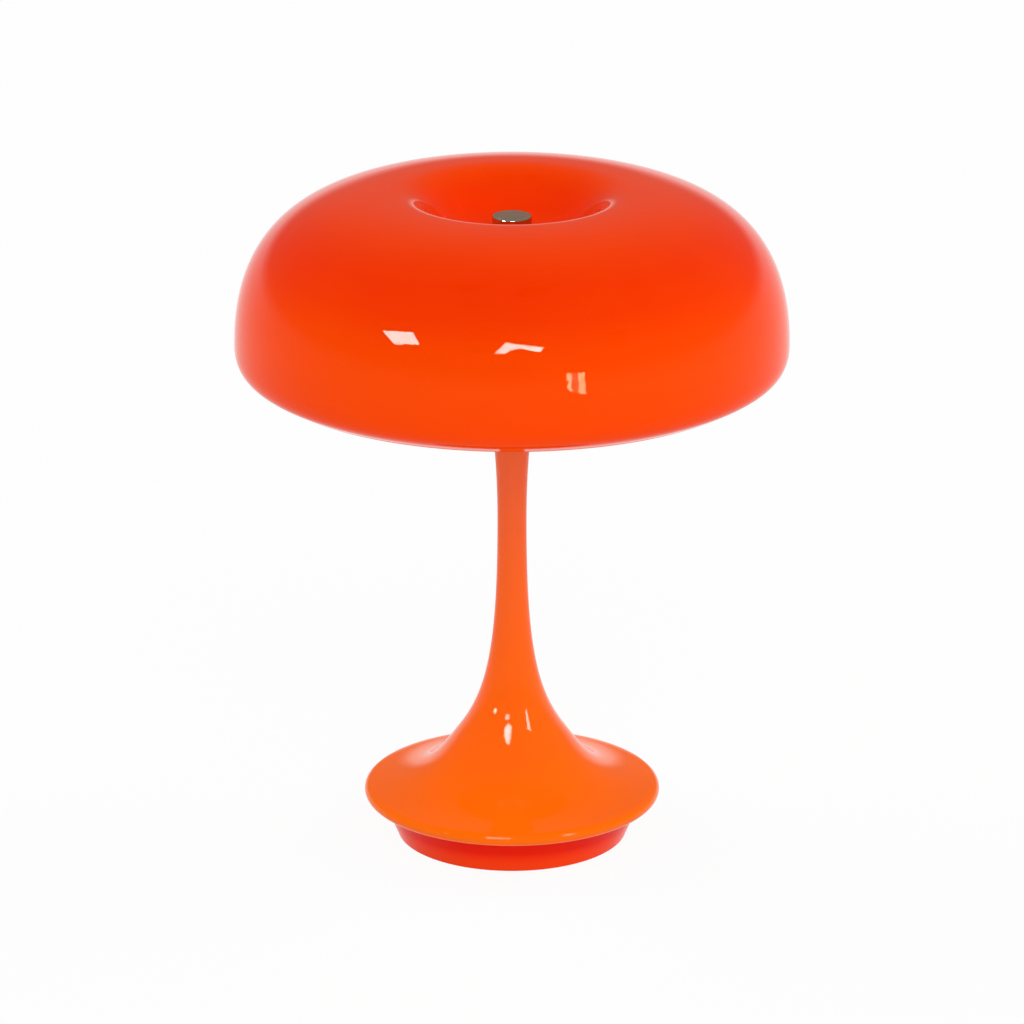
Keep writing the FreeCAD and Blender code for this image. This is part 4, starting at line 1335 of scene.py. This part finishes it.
@dataclass
class Studio:
    """A pale floor that curves up into a cove, soft light all round, and the camera."""

    floor_middle: float = 400.0
    floor_radius: float = 5000.0
    cove_radius: float = 1200.0
    cove_steps: int = 16
    floor_flats: int = 96
    floor_colour: str = "#EAEAE9"
    floor_white: float = 0.94
    cove_colour: str = "#A6A6A6"
    cove_fade: tuple[float, float] = (450.0, 1100.0)
    world_colour: str = "#FFFFFF"
    world_strength: float = 0.28
    sun_angles: tuple[float, float, float] = (10.0, 110.0, 240.0)
    sun_elevations: tuple[float, float, float] = (30.0, 36.0, 36.0)
    sun_powers: tuple[float, float, float] = (1.65, 1.2, 1.3)
    sun_spread: float = 55.0
    camera_elevation: float = 19.1
    camera_distance: float = 2400.0
    camera_height: float = 136.4
    camera_lens: float = 210.94
    camera_sensor: float = 36.0
    camera_clip: tuple[float, float] = (50.0, 50000.0)

    def surface(self, name: str) -> tuple[bpy.types.Material, Tree]:
        """Starts a material that no light is sampled from.

        Args:
            name: the material's name.

        Returns:
            The material and its empty node tree.
        """
        material = bpy.data.materials.new(name)
        material.use_nodes = True
        material.cycles.emission_sampling = "NONE"
        material.node_tree.nodes.clear()
        return material, material.node_tree

    def placed(self, mesh: Mesh, name: str,
               material: bpy.types.Material) -> bpy.types.Object:
        """Makes a studio object, which is no part of the lamp.

        Args:
            mesh: its mesh in millimetres, which is used up.
            name: its name.
            material: its surface.

        Returns:
            The object.
        """
        bmesh.ops.scale(mesh, vec=(MM, MM, MM), verts=mesh.verts)
        data = bpy.data.meshes.new(name)
        mesh.to_mesh(data)
        mesh.free()
        data.materials.append(material)
        item = bpy.data.objects.new(name, data)
        bpy.context.scene.collection.objects.link(item)
        return item

    def floor(self) -> None:
        """Builds the floor and the cove, in white paper that keeps the lamp's shadow."""
        shape = Outline(0.0, 0.0).line_to((self.floor_middle, 0.0), (self.floor_radius, 0.0))
        shape.arc_to((self.floor_radius, self.cove_radius),
                     (self.floor_radius + self.cove_radius, self.cove_radius), self.cove_steps)
        mesh = spun(shape, self.floor_flats)
        bmesh.ops.reverse_faces(mesh, faces=[f for f in mesh.faces if f.normal.z < 0])
        material, tree = self.surface("white_background_paper")
        where = add_node(tree, "ShaderNodeTexCoord").outputs["Object"]
        height = add_node(tree, "ShaderNodeSeparateXYZ", links={"Vector": where}).outputs["Z"]
        start, end = self.cove_fade
        fade = add_node(tree, "ShaderNodeMapRange", {"From Min": start * MM, "From Max": end * MM},
                        {"Value": height}).outputs["Result"]
        lit, plain = (add_node(tree, "ShaderNodeMix", {
            "data_type": "RGBA", 6: srgb(colour), 7: srgb(self.cove_colour)}, {0: fade}).outputs[2]
            for colour in (self.floor_colour, "#FFFFFF"))
        paper = add_node(tree, "ShaderNodeBsdfDiffuse", links={"Color": lit})
        white = add_node(tree, "ShaderNodeEmission", {"Strength": 1.0}, {"Color": plain})
        ray = add_node(tree, "ShaderNodeLightPath").outputs
        seen = ray["Is Camera Ray"]
        for other in ("Is Glossy Ray", "Is Transmission Ray"):
            seen = add_node(tree, "ShaderNodeMath", {"operation": "MAXIMUM"},
                            {0: seen, 1: ray[other]}).outputs["Value"]
        share = add_node(tree, "ShaderNodeMath", {"operation": "MULTIPLY", 1: self.floor_white},
                         {0: seen}).outputs["Value"]
        both = add_node(tree, "ShaderNodeMixShader", links={
            0: share, 1: paper.outputs["BSDF"], 2: white.outputs["Emission"]})
        add_node(tree, "ShaderNodeOutputMaterial", links={"Surface": both.outputs["Shader"]})
        self.placed(mesh, "floor", material).data.shade_smooth()

    def world(self) -> None:
        """Lights everything evenly from all round."""
        world = bpy.data.worlds.new("soft_room")
        world.use_nodes = True
        tree = world.node_tree
        tree.nodes.clear()
        glow = add_node(tree, "ShaderNodeBackground", {
            "Color": srgb(self.world_colour), "Strength": self.world_strength})
        add_node(tree, "ShaderNodeOutputWorld", links={"Surface": glow.outputs["Background"]})
        bpy.context.scene.world = world

    def suns(self) -> None:
        """Adds three wide, soft lights round the lamp, the strongest at the front."""
        lights = zip(self.sun_angles, self.sun_elevations, self.sun_powers)
        for place, (angle, elevation, power) in enumerate(lights):
            data = bpy.data.lights.new(f"soft_light_{place}", "SUN")
            data.energy, data.angle = power, math.radians(self.sun_spread)
            light = bpy.data.objects.new(data.name, data)
            light.rotation_euler = (math.radians(90 - elevation), 0.0, math.radians(angle))
            light.visible_glossy = False
            bpy.context.scene.collection.objects.link(light)

    def glints(self) -> None:
        """Hangs the windows, each lit for its own piece alone."""
        for card in CARDS:
            mesh = bmesh.new()
            centre = Vector(card.seen_from)
            corners = []
            for azimuth, elevation in card.corners:
                a, e = math.radians(azimuth), math.radians(elevation)
                aim = Vector((math.sin(a) * math.cos(e), -math.cos(a) * math.cos(e),
                              math.sin(e)))
                corners.append(mesh.verts.new(centre + aim * card.distance))
            mesh.faces.new(corners)
            bmesh.ops.triangulate(mesh, faces=mesh.faces)
            material, tree = self.surface(card.name)
            glow = add_node(tree, "ShaderNodeEmission", {
                "Color": srgb(card.colour), "Strength": card.strength})
            add_node(tree, "ShaderNodeOutputMaterial",
                     links={"Surface": glow.outputs["Emission"]})
            panel = self.placed(mesh, card.name, material)
            for ray in ("camera", "diffuse", "transmission", "volume_scatter", "shadow"):
                setattr(panel, f"visible_{ray}", False)
            lit = bpy.data.collections.new(f"lit_by_{card.name}")
            for piece in card.pieces:
                lit.objects.link(bpy.data.objects[piece])
            panel.light_linking.receiver_collection = lit

    def camera(self) -> None:
        """Sets the camera at the photograph's angle."""
        data = bpy.data.cameras.new("camera")
        data.lens, data.sensor_width = self.camera_lens, self.camera_sensor
        data.clip_start, data.clip_end = (end * MM for end in self.camera_clip)
        tilt = math.radians(self.camera_elevation)
        camera = bpy.data.objects.new("camera", data)
        camera.location = Vector((0.0, -self.camera_distance * math.cos(tilt),
                                  self.camera_height
                                  + self.camera_distance * math.sin(tilt))) * MM
        camera.rotation_euler = (math.pi / 2 - tilt, 0.0, 0.0)
        bpy.context.scene.collection.objects.link(camera)
        bpy.context.scene.camera = camera

    def build(self) -> None:
        """Sets up floor, light and camera."""
        bpy.context.scene.view_settings.view_transform = "Standard"
        self.floor()
        self.world()
        self.suns()
        self.glints()
        self.camera()


def main() -> None:
    """Builds the lamp's pieces in order, then the studio."""
    logging.basicConfig(level=logging.INFO, format="%(message)s", stream=sys.stdout)
    for assembly in (Stand(), Base(), LightHead(), Shade(), Knob(), Inside()):
        LOG.info("building %s", type(assembly).__name__)
        assembly.build()
    Studio().build()


if __name__ == "__main__":
    main()
